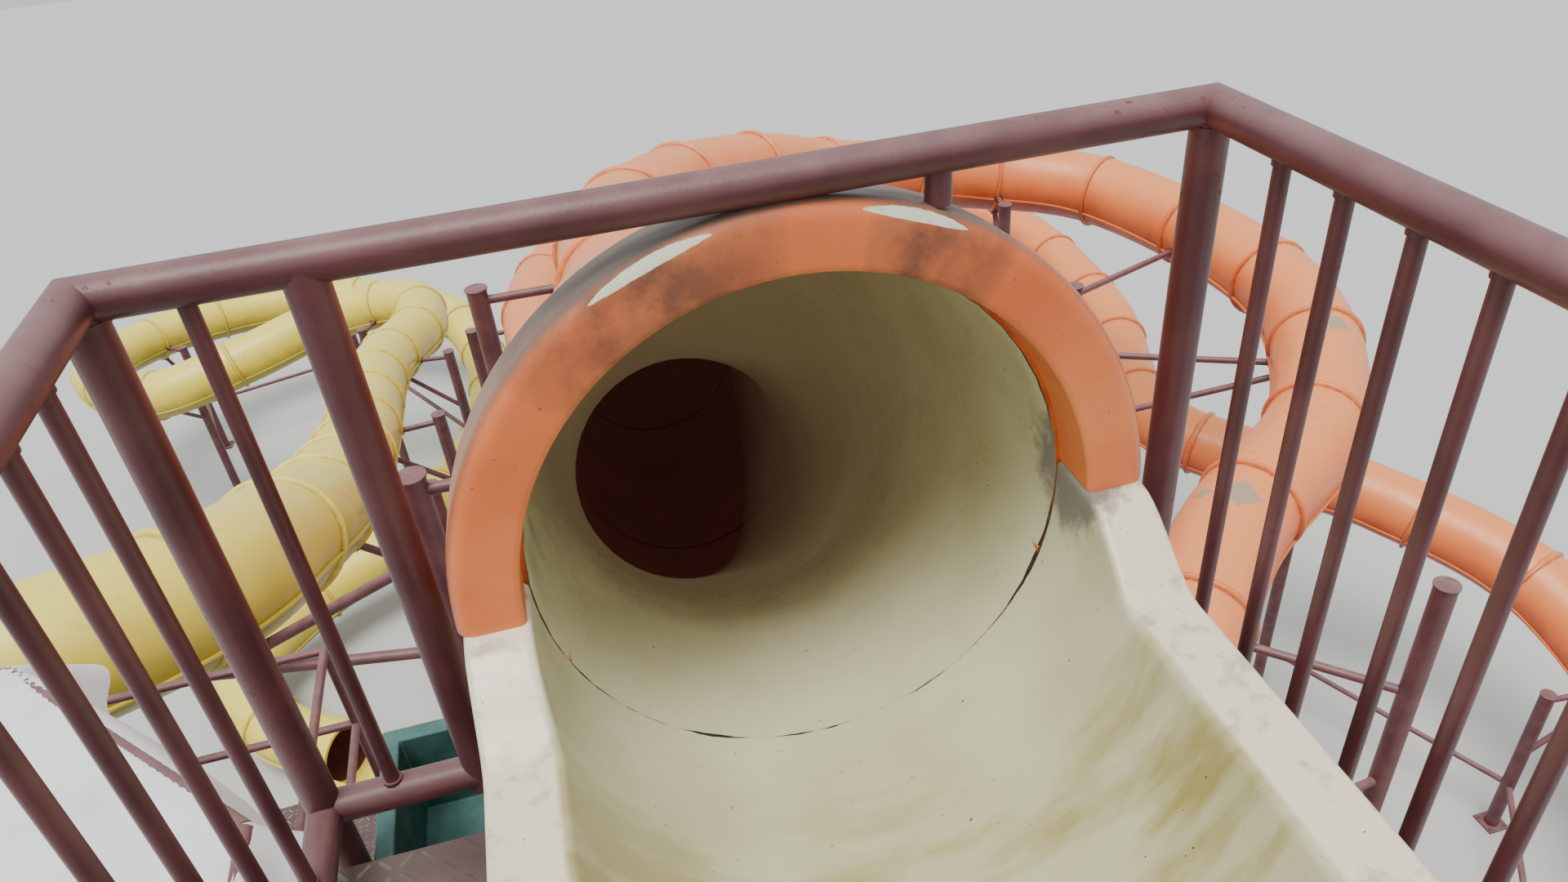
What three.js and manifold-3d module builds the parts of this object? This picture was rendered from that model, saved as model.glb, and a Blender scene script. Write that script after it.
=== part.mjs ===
// Water slide tower: a steel tower with a start deck, stairs and guard rails, an orange enclosed
// flume that leaves the deck through a round hood and coils down on pipe trestles, and a yellow
// flume that leaves a lower, tarpaulin-covered deck. Millimetres, +Z up, riders leave towards +Y.
import * as THREE from 'three';
import { mergeVertices } from 'three/addons/utils/BufferGeometryUtils.js';
import Module from 'manifold-3d';

const wasm = await Module();
wasm.setup();

// Driving dimensions
const GAP = 0.3;                 // clearance between neighbouring pieces
const RISER = 180;
const GOING = 260;
const RISERS = 16;               // in each flight
const STOREY = RISER * RISERS;   // height from landing to landing
const LOWER_DECK = 3 * STOREY;   // deck of the yellow flume
const DECK = 4 * STOREY;         // deck of the orange flume
const TUBE_OVER_DECK = 480;      // middle of the start tube over its deck
const MOUTH = DECK + TUBE_OVER_DECK;

const TUBE_R = 460;              // outside of the flume tube
const BORE_R = 450;
const RING_R = 498;                // crest of the raised ring where two pieces of tube meet
const RING_HALF = 34;              // half the ring's width along the tube
const TUBE_SIDES = 10;
const RING_PITCH = 1520;         // between rings, about, with straight tube from ring to ring

const CHANNEL_BORE = 458;        // open channels and the start tub
const CHANNEL_OUT = 470;
const RIM_OUT = 562;
const RIM_T = 30;
const RIM_DROP = 105;            // rim line of an open channel below its axis
const HOOD_OUT = 570;
const HOOD_IN = 464;
const HOOD_DEPTH = 110;
const HOOD_WALL = 12;
const HOOD_LEAN = THREE.MathUtils.degToRad(6.5);
const TUB_BACK = -1050;

const RAIL_Y = 93;               // line of the front guard rail, beyond the mouth's plane
const LEFT_X = -885;             // lines of the side guard rails
const RIGHT_X = 659;
const RAIL_HEIGHT = 1070;        // top rail's axis over the deck
const RAIL_LOW = 99;             // bottom rail's axis over the deck
const RAIL_PIPE = 60;
const BALUSTER = 25;
const BALUSTER_PITCH = 125;

const DECK_FRONT = 40;           // front edge of the deck
const DECK_BACK = -3200;         // where the deck meets the top landing
const STAIR_BACK = -5600;
const DECK_LEFT = -930;
const DECK_RIGHT = 710;
const PLATE_T = 12;
const BEAM_DEPTH = 200;
const BEAM_WIDTH = 90;
const COLUMN = 168;
const BASE_PLATE = 300;
const BASE_T = 25;
const BRACE = 76;
const STAIR_RUN = GOING * (RISERS - 1);
const LANDING = 1400;
const STAIR_LEFT = DECK_LEFT - STAIR_RUN;          // where flights meet the left landings
const LANDING_LEFT = STAIR_LEFT - LANDING;
const LANE = 900;                                  // width of a flight
const FRONT_LANE = -3410;                          // outer face of the front flights
const REAR_LANE = -5310;                           // outer face of the rear flights
const STRINGER = 15;
const STRINGER_DEPTH = 250;
const TREAD_T = 40;
const HAND_RAIL = 42;
const FRONT_ROW = -100;                            // lines of the tower's columns
const MIDDLE_ROW = -3250;
const REAR_ROW = -5470;
const TOWER_LEFT = -830;
const TOWER_RIGHT = 610;
const STAIR_POST_IN = STAIR_LEFT - 100;
const STAIR_POST_OUT = LANDING_LEFT + 100;
const LOWER_RIGHT = -1700;                         // edges of the lower deck
const LOWER_BACK = 200;
const LOWER_FRONT = 2900;
const BAY_RIGHT = -4350;
const BAY_FRONT = 4650;

const ORANGE = { color: 0xf0a070, roughness: 0.35, metalness: 0 };
const YELLOW = { color: 0xe6d873, roughness: 0.35, metalness: 0 };
const CREAM = { color: 0xcfcfb4, roughness: 0.3, metalness: 0 };
const MAROON = { color: 0x6b4449, roughness: 0.55, metalness: 0.1 };
const TEAL = { color: 0x4f7f78, roughness: 0.5, metalness: 0 };
const TARP = { color: 0xf2f4f6, roughness: 0.8, metalness: 0 };
const PLATE = { color: 0x7d6a64, roughness: 0.7, metalness: 0.2 };

// Routes of the two flumes' axes from the mouth, in metres, each height below the orange mouth
const ORANGE_ROUTE = [
  [0, 0.105, -0.012], [0, 0.505, -0.058], [0, 1.1, -0.42], [0.01, 1.7, -0.99], [0.03, 2.35, -1.42],
  [0.05, 3.2, -1.67], [0.09, 4.6, -1.93], [0.13, 6.2, -2.27], [0.28, 8.1, -2.68], [1.15, 9.9, -3.08],
  [2.3, 11.05, -3.5], [3.37, 11.85, -4], [5.65, 12.59, -4.64], [7.11, 11.77, -4.81],
  [7.81, 8.46, -5.01], [6.64, 6.23, -5.13], [4.92, 5.06, -5.24], [3.28, 3.65, -5.48], [1.83, 3.53, -5.57],
  [0.55, 4.45, -5.65], [-0.2, 7.2, -5.8], [-0.68, 11, -5.95], [-0.7, 14.6, -6.15], [0.6, 17.6, -6.6],
  [3.43, 19.21, -7.13], [7.16, 19.1, -7.6], [8.6, 17.53, -7.92], [8.8, 14.1, -8.2], [8.1, 10.92, -8.45],
  [10.1, 8.48, -8.72], [11.1, 6.6, -9.1], [10.8, 4, -9.95], [9, 2.2, -10.75], [6.4, 1.7, -11.2], [4.2, 1.7, -11.4]];
const YELLOW_ROUTE = [
  [-4.3, 3.9, -2.88], [-3.5, 4, -2.92], [-2.9, 4.6, -3.15], [-2.75, 5.8, -3.7], [-2.8, 7.2, -4.4],
  [-3.1, 10.5, -5.8], [-3.4, 15.3, -7.2], [-3, 17.9, -7.8], [-3.4, 19.6, -8.1], [-4.9, 20.1, -8.35],
  [-6.5, 19.5, -8.6], [-8.3, 19.2, -8.9], [-10, 21.3, -9.15], [-8.9, 23.3, -9.4], [-5.6, 24.2, -9.7],
  [-3, 22.8, -10.05], [-2.3, 18.4, -10.4], [-3.9, 15.6, -10.75], [-5.6, 14.5, -11], [-6.6, 13.2, -11.2],
  [-6, 12, -11.36], [-4.9, 11.2, -11.4]];

const orangeRoute = routeThrough(ORANGE_ROUTE);
const yellowRoute = routeThrough(YELLOW_ROUTE);

const tower = new THREE.Group();

function routeThrough(metres) {
  const points = metres.map(([x, y, z]) => new THREE.Vector3(x * 1000, y * 1000, MOUTH + z * 1000));
  const curve = new THREE.CatmullRomCurve3(points, false, 'centripetal');
  curve.arcLengthDivisions = 1000;
  return curve;
}

// Geometry to solid and back
function solid(geometry) {
  const bare = geometry.clone();
  bare.deleteAttribute('normal');
  bare.deleteAttribute('uv');
  const merged = mergeVertices(bare, 1e-3);
  return new wasm.Manifold(new wasm.Mesh({
    numProp: 3,
    vertProperties: new Float32Array(merged.attributes.position.array),
    triVerts: new Uint32Array(merged.index.array)
  }));
}

function addPiece(name, body, look) {
  const { vertProperties, triVerts } = body.getMesh();
  const geometry = new THREE.BufferGeometry();
  geometry.setAttribute('position', new THREE.BufferAttribute(vertProperties, 3));
  geometry.setIndex(new THREE.BufferAttribute(triVerts, 1));
  geometry.computeVertexNormals();
  const mesh = new THREE.Mesh(geometry, new THREE.MeshStandardMaterial(look));
  mesh.name = name;
  tower.add(mesh);
}

function join(bodies) {
  return bodies.reduce((whole, body) => whole.add(body));
}

// Plain shapes
function box(x0, x1, y0, y1, z0, z1) {
  const geometry = new THREE.BoxGeometry(x1 - x0, y1 - y0, z1 - z0);
  geometry.translate((x0 + x1) / 2, (y0 + y1) / 2, (z0 + z1) / 2);
  return solid(geometry);
}

function pipe(from, to, diameter, sides = 8) {
  const a = new THREE.Vector3(...from);
  const b = new THREE.Vector3(...to);
  const start = sides === 6 ? Math.PI / 6 : 0;       // six sides lie on a flat
  const geometry = new THREE.CylinderGeometry(diameter / 2, diameter / 2, a.distanceTo(b), sides, 1, false, start);
  const turn = new THREE.Quaternion().setFromUnitVectors(new THREE.Vector3(0, 1, 0), b.clone().sub(a).normalize());
  geometry.applyQuaternion(turn);
  geometry.translate((a.x + b.x) / 2, (a.y + b.y) / 2, (a.z + b.z) / 2);
  return solid(geometry);
}

function extrude(outline, depth) {
  return new THREE.ExtrudeGeometry(outline, { depth, bevelEnabled: false, curveSegments: 12 });
}

// A shape drawn in X and Z, pushed from y0 to y1
function pushedAlongY(outline, y0, y1) {
  const geometry = extrude(outline, y1 - y0);
  geometry.rotateX(Math.PI / 2);
  geometry.translate(0, y1, 0);
  return solid(geometry);
}

// Steel columns, with a base plate on the ground
function column(x, y, top, sides = 8) {
  const half = BASE_PLATE / 2;
  return pipe([x, y, BASE_T / 2], [x, y, top], COLUMN, sides).add(box(x - half, x + half, y - half, y + half, 0, BASE_T));
}

// A route's place and axes at a distance along it
function stationOf(route, s) {
  const u = THREE.MathUtils.clamp(s / route.getLength(), 0, 1);
  const place = route.getPointAt(u);
  const ahead = route.getTangentAt(u);
  const right = new THREE.Vector3().crossVectors(ahead, new THREE.Vector3(0, 0, 1)).normalize();
  const up = new THREE.Vector3().crossVectors(right, ahead);
  return { place, ahead, right, up };
}

// A turned shape whose axis is bent along the route
function bend(profile, route) {
  const geometry = new THREE.LatheGeometry(profile, TUBE_SIDES);
  const position = geometry.attributes.position;
  for (let i = 0; i < position.count; i += 1) {
    const { place, right, up } = stationOf(route, position.getY(i));
    place.addScaledVector(right, position.getX(i)).addScaledVector(up, position.getZ(i));
    position.setXYZ(i, place.x, place.y, place.z);
  }
  return solid(geometry);
}

// Distance between rings that divides a route into whole pieces
function ringPitch(route) {
  return route.getLength() / Math.round(route.getLength() / RING_PITCH);
}

// The orange entry piece drops steeply, so it has a station halfway
function halfway(route, radius) {
  return route === orangeRoute ? [[radius, ringPitch(route) / 2]] : [];
}

// Outside of a tube from one ring to another, as radius and distance
function tubeOutside(route, first, last, grow) {
  const pitch = ringPitch(route);
  const profile = [];
  for (let k = first; k <= last; k += 1) {
    if (k > first) profile.push([TUBE_R + grow, k * pitch - RING_HALF]);
    profile.push([RING_R + grow, k * pitch]);
    if (k < last) profile.push([TUBE_R + grow, k * pitch + RING_HALF]);
    if (k === 0) profile.push(...halfway(route, TUBE_R + grow));
  }
  return profile;
}

// Tube between two of its route's rings
function tube(route, first, last) {
  const pitch = ringPitch(route);
  const outside = tubeOutside(route, first, last, 0);
  outside[0] = [RING_R - 2 * GAP, first * pitch + 2 * GAP];
  const inside = [];
  for (let k = last; k > first; k -= 1) inside.push([BORE_R, k * pitch]);
  if (first === 0) inside.push(...halfway(route, BORE_R));
  inside.push([BORE_R, first * pitch + 2 * GAP]);
  const profile = [...outside, ...inside, outside[0]].map(([r, s]) => new THREE.Vector2(r, s));
  return bend(profile, route);
}

// The space that a tube fills, a little larger, for fitting what meets it
function tubeSpace(route, first, last, gap = GAP) {
  const pitch = ringPitch(route);
  const outside = tubeOutside(route, first, last, gap);
  return bend([[0, first * pitch], ...outside, [0, last * pitch]].map(([r, s]) => new THREE.Vector2(r, s)), route);
}

// Sections joined into a skin, each a closed loop of the same number of points
function loft(sections, outline) {
  const n = outline.length;
  const positions = sections.flat(2);
  const index = [];
  for (let k = 0; k + 1 < sections.length; k += 1) {
    for (let i = 0; i < n; i += 1) {
      const a = k * n + i;
      const b = k * n + (i + 1) % n;
      index.push(a, b, a + n, b, b + n, a + n);
    }
  }
  const last = (sections.length - 1) * n;
  for (const [a, b, c] of THREE.ShapeUtils.triangulateShape(outline, [])) {
    index.push(a, b, c, last + c, last + b, last + a);
  }
  const geometry = new THREE.BufferGeometry();
  geometry.setAttribute('position', new THREE.Float32BufferAttribute(positions, 3));
  geometry.setIndex(index);
  return solid(geometry);
}

// The part of a body on one side of the plane across a route, ahead (1) or behind (-1)
function trimAt(body, route, s, side) {
  const { place, ahead } = stationOf(route, s);
  const normal = ahead.clone().multiplyScalar(side);
  return body.trimByPlane(normal.toArray(), normal.dot(place) + GAP);
}

// Open channel: a half tube with flat rims, its rim line at a height over the axis
function channelSection(rim) {
  const points = [[-RIM_OUT, rim], [-CHANNEL_BORE, rim]];
  const low = Math.min(rim, 0);
  const inner = Math.asin(-low / CHANNEL_BORE);
  const arcSteps = 10;
  for (let i = 1; i < arcSteps; i += 1) {
    const angle = Math.PI + inner + (Math.PI - 2 * inner) * i / arcSteps;
    points.push([CHANNEL_BORE * Math.cos(angle), CHANNEL_BORE * Math.sin(angle)]);
  }
  points.push([CHANNEL_BORE, rim], [RIM_OUT, rim], [RIM_OUT, rim - RIM_T], [CHANNEL_OUT, rim - RIM_T - 20]);
  const outer = Math.asin((RIM_T + 40 - low) / CHANNEL_OUT);
  for (let i = 1; i < arcSteps; i += 1) {
    const angle = -outer - (Math.PI - 2 * outer) * i / arcSteps;
    points.push([CHANNEL_OUT * Math.cos(angle), CHANNEL_OUT * Math.sin(angle)]);
  }
  points.push([-CHANNEL_OUT, rim - RIM_T - 20], [-RIM_OUT, rim - RIM_T]);
  return points;
}

function channel(route, from, to, rimAt, steps) {
  const sections = [];
  for (let i = 0; i <= steps; i += 1) {
    const s = from + (to - from) * i / steps;
    const { place, right, up } = stationOf(route, s);
    sections.push(channelSection(rimAt(s)).map(([x, z]) => {
      const point = place.clone().addScaledVector(right, x).addScaledVector(up, z);
      return [point.x, point.y, point.z];
    }));
  }
  const outline = channelSection(rimAt(from)).map(([x, z]) => new THREE.Vector2(x, z));
  return loft(sections, outline);
}

const UNDER_PLATE = PLATE_T + GAP;
const UNDER_BEAM = UNDER_PLATE + BEAM_DEPTH + GAP;

// A flat frame of columns in one row, with beams under each landing and cross braces in its bays
function columnFrame(y, posts, beams, braces) {
  const bodies = posts.map(([x, top]) => column(x, y, top));
  for (const [x0, x1, level] of beams) {
    const top = level - UNDER_PLATE;
    bodies.push(box(x0 - BEAM_WIDTH / 2, x1 + BEAM_WIDTH / 2, y - BEAM_WIDTH / 2, y + BEAM_WIDTH / 2, top - BEAM_DEPTH, top));
  }
  for (const [x0, z0, x1, z1] of braces) bodies.push(pipe([x0, y, z0], [x1, y, z1], BRACE, 4));
  return join(bodies);
}

// Ties and cross braces on the outer face of the columns, running along Y
function sideBracing(x, rows, levels) {
  const bodies = [];
  for (const level of levels) bodies.push(pipe([x, rows[0], level], [x, rows.at(-1), level], BRACE, 4));
  for (let i = 0; i + 1 < rows.length; i += 1) {
    for (let k = 0; k + 1 < levels.length; k += 1) {
      const rising = (i + k) % 2 === 0;
      const [near, far] = rising ? [rows[i], rows[i + 1]] : [rows[i + 1], rows[i]];
      bodies.push(pipe([x, near, levels[k]], [x, far, levels[k + 1]], BRACE, 4));
    }
  }
  return join(bodies);
}

// Zigzag of braces between two columns of a row, one diagonal in each storey, each starting over
// a landing's plate where there is one
const OVER_PLATE = 120;

function zigzag(x0, x1, storeys, landings = []) {
  const braces = [];
  for (let k = 0; k < storeys; k += 1) {
    const low = landings.includes(k) ? k * STOREY + OVER_PLATE : BRACE_LEVELS[k];
    const high = BRACE_LEVELS[k + 1];
    const [from, to] = k % 2 === 0 ? [x0, x1] : [x1, x0];
    braces.push([from, low, to, high], [x0, high, x1, high]);
  }
  return braces;
}

const BRACE_LEVELS = [300, STOREY - 450, 2 * STOREY - 450, 3 * STOREY - 450, 4 * STOREY - 450];
const LOWERED = 300;             // left bracing under the ties of the stair bays
const DECK_POST_TOP = DECK - UNDER_BEAM;
const LOWER_POST_TOP = LOWER_DECK - UNDER_PLATE - 1;

function towerFrames() {
  const deckPosts = [[TOWER_LEFT, DECK_POST_TOP], [TOWER_RIGHT, DECK_POST_TOP]];
  const leftPosts = [[STAIR_POST_OUT, LOWER_POST_TOP], [STAIR_POST_IN, LOWER_POST_TOP]];
  const landingBeams = [[TOWER_LEFT, TOWER_RIGHT, 2 * STOREY], [STAIR_POST_OUT, STAIR_POST_IN, STOREY],
    [STAIR_POST_OUT, STAIR_POST_IN, LOWER_DECK]];
  const narrow = zigzag(TOWER_LEFT, TOWER_RIGHT, 4, [2]);
  const wide = zigzag(STAIR_POST_IN, TOWER_LEFT, 3);
  const end = zigzag(STAIR_POST_OUT, STAIR_POST_IN, 3, [1]);
  addPiece('tower_front_frame', columnFrame(FRONT_ROW, deckPosts, [], zigzag(TOWER_LEFT, TOWER_RIGHT, 4)), MAROON);
  addPiece('tower_middle_frame',
    columnFrame(MIDDLE_ROW, [...leftPosts, ...deckPosts], landingBeams, [...narrow, ...wide, ...end]), MAROON);
  addPiece('tower_rear_frame',
    columnFrame(REAR_ROW, [...leftPosts, ...deckPosts], landingBeams, [...narrow, ...wide, ...end]), MAROON);
  const off = COLUMN / 2 + BRACE / 2 + GAP;
  const rows = [FRONT_ROW, MIDDLE_ROW, REAR_ROW];
  addPiece('tower_right_bracing', sideBracing(TOWER_RIGHT + off, rows, BRACE_LEVELS), MAROON);
  const lowered = BRACE_LEVELS.map((level, k) => level - (k > 0 ? LOWERED : 0));
  addPiece('tower_left_bracing', sideBracing(TOWER_LEFT - off, rows.slice(0, 2), lowered), MAROON);
  addPiece('stair_end_bracing', sideBracing(STAIR_POST_OUT - off, rows.slice(1), BRACE_LEVELS.slice(0, 4)), MAROON);
}

// Deck beams on top of the tower's columns
function deckBeams() {
  const top = DECK - UNDER_PLATE;
  const z = [top - BEAM_DEPTH, top];
  const half = BEAM_WIDTH / 2;
  const bodies = [];
  for (const x of [TOWER_LEFT, TOWER_RIGHT]) bodies.push(box(x - half, x + half, REAR_ROW - half, DECK_FRONT, ...z));
  for (const y of [DECK_FRONT - half, FRONT_ROW - 1500, MIDDLE_ROW, REAR_ROW + 1110, REAR_ROW]) {
    bodies.push(box(TOWER_LEFT, TOWER_RIGHT, y - half, y + half, ...z));
  }
  return join(bodies);
}

function plate(x0, x1, y0, y1, level) {
  return box(x0, x1, y0, y1, level - PLATE_T, level);
}

// Edge channel that the flights hang from, on the stair side of a landing
const EDGE_T = 50;
const EDGE_Y = [REAR_ROW + COLUMN / 2 + 2, MIDDLE_ROW - COLUMN / 2 - 2];

function landingEdge(x, inward, level) {
  const [x0, x1] = inward > 0 ? [x, x + EDGE_T] : [x - EDGE_T, x];
  return box(x0, x1, ...EDGE_Y, level - BEAM_DEPTH, level - PLATE_T / 2);
}

function throughColumns(body, xs) {
  let cut = body;
  for (const x of xs) {
    for (const y of [MIDDLE_ROW, REAR_ROW]) {
      cut = cut.subtract(pipe([x, y, 0], [x, y, DECK], COLUMN + 2 * GAP, 8));
    }
  }
  return cut;
}

function decks() {
  addPiece('deck_beams', deckBeams(), MAROON);
  addPiece('deck_plate', plate(DECK_LEFT, DECK_RIGHT, DECK_BACK + GAP, DECK_FRONT, DECK), PLATE);
  addPiece('top_landing', plate(DECK_LEFT, DECK_RIGHT, STAIR_BACK, DECK_BACK, DECK)
    .add(landingEdge(DECK_LEFT, 1, DECK)), PLATE);
  addPiece('landing_1', throughColumns(plate(STAIR_POST_OUT, STAIR_LEFT, STAIR_BACK, DECK_BACK, STOREY)
    .add(landingEdge(STAIR_LEFT, -1, STOREY)), [STAIR_POST_OUT, STAIR_POST_IN]), PLATE);
  addPiece('landing_2', throughColumns(plate(DECK_LEFT, TOWER_RIGHT, STAIR_BACK, DECK_BACK, 2 * STOREY)
    .add(landingEdge(DECK_LEFT, 1, 2 * STOREY)), [TOWER_LEFT, TOWER_RIGHT]), PLATE);
}

// The lower deck, with the top stair landing at its back and a bay for the yellow start at its front
const LOWER_ROWS = [LOWER_BACK + 100, LOWER_FRONT - 100, BAY_FRONT - 100];
const LOWER_POSTS = [[STAIR_POST_OUT, STAIR_POST_IN, LOWER_RIGHT - 100],
  [STAIR_POST_OUT, BAY_RIGHT - 100, LOWER_RIGHT - 100], [STAIR_POST_OUT, BAY_RIGHT - 100]];

function lowerDeck() {
  const outline = new THREE.Shape([[LANDING_LEFT, STAIR_BACK], [STAIR_LEFT, STAIR_BACK], [STAIR_LEFT, LOWER_BACK],
    [LOWER_RIGHT, LOWER_BACK], [LOWER_RIGHT, LOWER_FRONT], [BAY_RIGHT, LOWER_FRONT], [BAY_RIGHT, BAY_FRONT],
    [LANDING_LEFT, BAY_FRONT]].map(([x, y]) => new THREE.Vector2(x, y)));
  const sheet = extrude(outline, PLATE_T);
  sheet.translate(0, 0, LOWER_DECK - PLATE_T);
  const joists = [];
  const joist = (x, y0, y1) => joists.push(box(x - 30, x + 30, y0, y1, LOWER_DECK - 150, LOWER_DECK - 1));
  for (const x of [LANDING_LEFT + 40, STAIR_LEFT - 40]) joist(x, MIDDLE_ROW + COLUMN, LOWER_BACK + 50);
  for (const x of [LANDING_LEFT + 40, -5000, -3400, LOWER_RIGHT - 40]) joist(x, LOWER_BACK, LOWER_FRONT);
  for (const x of [LANDING_LEFT + 40, BAY_RIGHT - 40]) joist(x, LOWER_FRONT, BAY_FRONT);
  let deck = join([solid(sheet), landingEdge(STAIR_LEFT, -1, LOWER_DECK), ...joists]);
  const reach = [STAIR_POST_OUT - 60, LOWER_RIGHT - 40];
  for (const y of [MIDDLE_ROW, ...LOWER_ROWS]) {
    deck = deck.subtract(box(...reach, y - BEAM_WIDTH / 2 - GAP, y + BEAM_WIDTH / 2 + GAP, LOWER_DECK - 400,
      LOWER_DECK - PLATE_T));
  }
  LOWER_POSTS.forEach((xs, i) => {
    for (const x of xs) {
      deck = deck.subtract(pipe([x, LOWER_ROWS[i], 0], [x, LOWER_ROWS[i], LOWER_DECK - PLATE_T], COLUMN + 2 * GAP));
    }
  });
  addPiece('lower_deck', deck, PLATE);
  const names = ['lower_deck_rear_frame', 'lower_deck_front_frame', 'lower_bay_frame'];
  names.forEach((name, i) => {
    const xs = LOWER_POSTS[i];
    const posts = xs.map((x) => [x, LOWER_POST_TOP]);
    const braces = [];
    for (let k = 0; k + 1 < xs.length; k += 1) {
      braces.push(...zigzag(xs[k], xs[k + 1], 3));
    }
    addPiece(name, columnFrame(LOWER_ROWS[i], posts, [[xs[0], xs.at(-1), LOWER_DECK]], braces), MAROON);
  });
}

// Stair flights
function flight(x0, dir, outerY, innerY, base) {
  const x1 = x0 + dir * (STAIR_RUN - GAP);
  const start = x0 + dir * GAP;
  const under = RISER - STRINGER_DEPTH;
  const top = base + STOREY;
  const outline = base === 0
    ? [[start, 0], [start, RISER + 30], [x1, top + 30], [x1, top - STRINGER_DEPTH], [x0 - dir * under * GOING / RISER, 0]]
    : [[start, base + under], [start, base + RISER + 30], [x1, top + 30], [x1, top - STRINGER_DEPTH]];
  if (dir < 0) outline.reverse();
  const shape = new THREE.Shape(outline.map(([x, z]) => new THREE.Vector2(x, z)));
  const [low, high] = [Math.min(outerY, innerY), Math.max(outerY, innerY)];
  const bodies = [pushedAlongY(shape, low, low + STRINGER), pushedAlongY(shape, high - STRINGER, high)];
  for (let i = 0; i + 1 < RISERS; i += 1) {
    const a = x0 + dir * (i === 0 ? 2 : i * GOING);
    const b = x0 + dir * Math.min((i + 1) * GOING, STAIR_RUN - 2);
    const z = base + (i + 1) * RISER;
    bodies.push(box(Math.min(a, b), Math.max(a, b), low + STRINGER / 2, high - STRINGER / 2, z - TREAD_T, z));
  }
  return join(bodies);
}

const FRONT_INNER = FRONT_LANE - LANE;
const REAR_INNER = REAR_LANE + LANE;
const FLIGHTS = [
  { x: DECK_LEFT, dir: -1, outer: REAR_LANE, inner: REAR_INNER },
  { x: STAIR_LEFT, dir: 1, outer: FRONT_LANE, inner: FRONT_INNER },
  { x: DECK_LEFT, dir: -1, outer: REAR_LANE, inner: REAR_INNER },
  { x: STAIR_LEFT, dir: 1, outer: FRONT_LANE, inner: FRONT_INNER }];

function stairs() {
  FLIGHTS.forEach(({ x, dir, outer, inner }, k) => {
    addPiece(`stair_flight_${k + 1}`, flight(x, dir, outer, inner, k * STOREY), MAROON);
  });
}

// Hand rails: pipes through a line of points, with posts
const HAND = 1000;               // hand rail over the nosings and landings
const MID = 500;

function railRun(points, drops) {
  const bodies = [];
  for (let i = 0; i + 1 < points.length; i += 1) {
    for (const drop of drops) {
      const [a, b] = [points[i], points[i + 1]].map(([x, y, z]) => [x, y, z - drop]);
      if (a.every((value, k) => Math.abs(value - b[k]) < 1)) continue;
      bodies.push(pipe(a, b, HAND_RAIL, 4));
    }
  }
  return bodies;
}

function post([x, y, z], foot, diameter = HAND_RAIL + 4) {
  return pipe([x, y, foot], [x, y, z], diameter, 4);
}

// Rail points over a flight, and posts on the face of its stringer
function flightRail(k, y) {
  const { x, dir } = FLIGHTS[k];
  const foot = [x, y, k * STOREY + RISER + HAND];
  const head = [x + dir * STAIR_RUN, y, (k + 1) * STOREY + HAND];
  const posts = [0.02, 0.5, 0.98].map((t) => {
    const at = foot.map((value, i) => value + (head[i] - value) * t);
    return post(at, at[2] - HAND - STRINGER_DEPTH + 60);
  });
  return { foot, head, posts };
}

const OUTER_FRONT = FRONT_LANE + HAND_RAIL / 2 + 2 + GAP;
const OUTER_REAR = REAR_LANE - HAND_RAIL / 2 - 2 - GAP;
const INNER_FRONT = FRONT_INNER - HAND_RAIL / 2 - 2 - GAP;
const INNER_REAR = REAR_INNER + HAND_RAIL / 2 + 2 + GAP;
const LEFT_TURN = STAIR_POST_OUT + COLUMN / 2 + 30;
const RIGHT_TURN = TOWER_RIGHT - COLUMN / 2 - 30;

function landingRail(turnX, edgeX, from, to, level) {
  const z = level + HAND;
  const points = [[edgeX, from, z], [turnX, from, z], [turnX, to, z], [edgeX, to, z]];
  const bodies = railRun(points, [0, MID]);
  for (const at of points.slice(1, 3)) bodies.push(post(at, level + GAP));
  return bodies;
}

function outerRails() {
  const lines = [OUTER_REAR, OUTER_FRONT, OUTER_REAR, OUTER_FRONT];
  lines.forEach((y, k) => {
    const { foot, head, posts } = flightRail(k, y);
    const bodies = [...railRun([foot, head], [0, MID]), ...posts];
    if (k === 0) bodies.push(...landingRail(LEFT_TURN, STAIR_LEFT, y, lines[1], STOREY));
    if (k === 1) bodies.push(...landingRail(RIGHT_TURN, DECK_LEFT, y, lines[2], 2 * STOREY));
    if (k < 2) {
      const next = flightRail(k + 1, lines[k + 1]).foot;
      bodies.push(pipe([next[0], next[1], head[2] - MID], [next[0], next[1], head[2]], HAND_RAIL + 4, 4));
    }
    const { dir } = FLIGHTS[k];
    let whole = join(bodies);
    if (k > 0) whole = whole.trimByPlane([dir, 0, 0], dir * foot[0]);
    if (k < 2) whole = whole.subtract(pastFoot(k + 1, lines[k + 1]));
    else whole = whole.trimByPlane([-dir, 0, 0], -dir * head[0] + GAP);
    addPiece(`stair_outer_rail_${k + 1}`, whole, MAROON);
  });
}

// Room kept clear where one flight's outer rail ends and the next begins
function pastFoot(k, y) {
  const { x, dir } = FLIGHTS[k];
  const [a, b] = dir > 0 ? [x - GAP, x + 400] : [x - 400, x + GAP];
  return box(a, b, y - 60, y + 60, k * STOREY - 300, k * STOREY + 2 * HAND);
}

// Rails between two lanes: each flight's pair runs from newel to newel
const NEWEL = 96;

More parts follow.
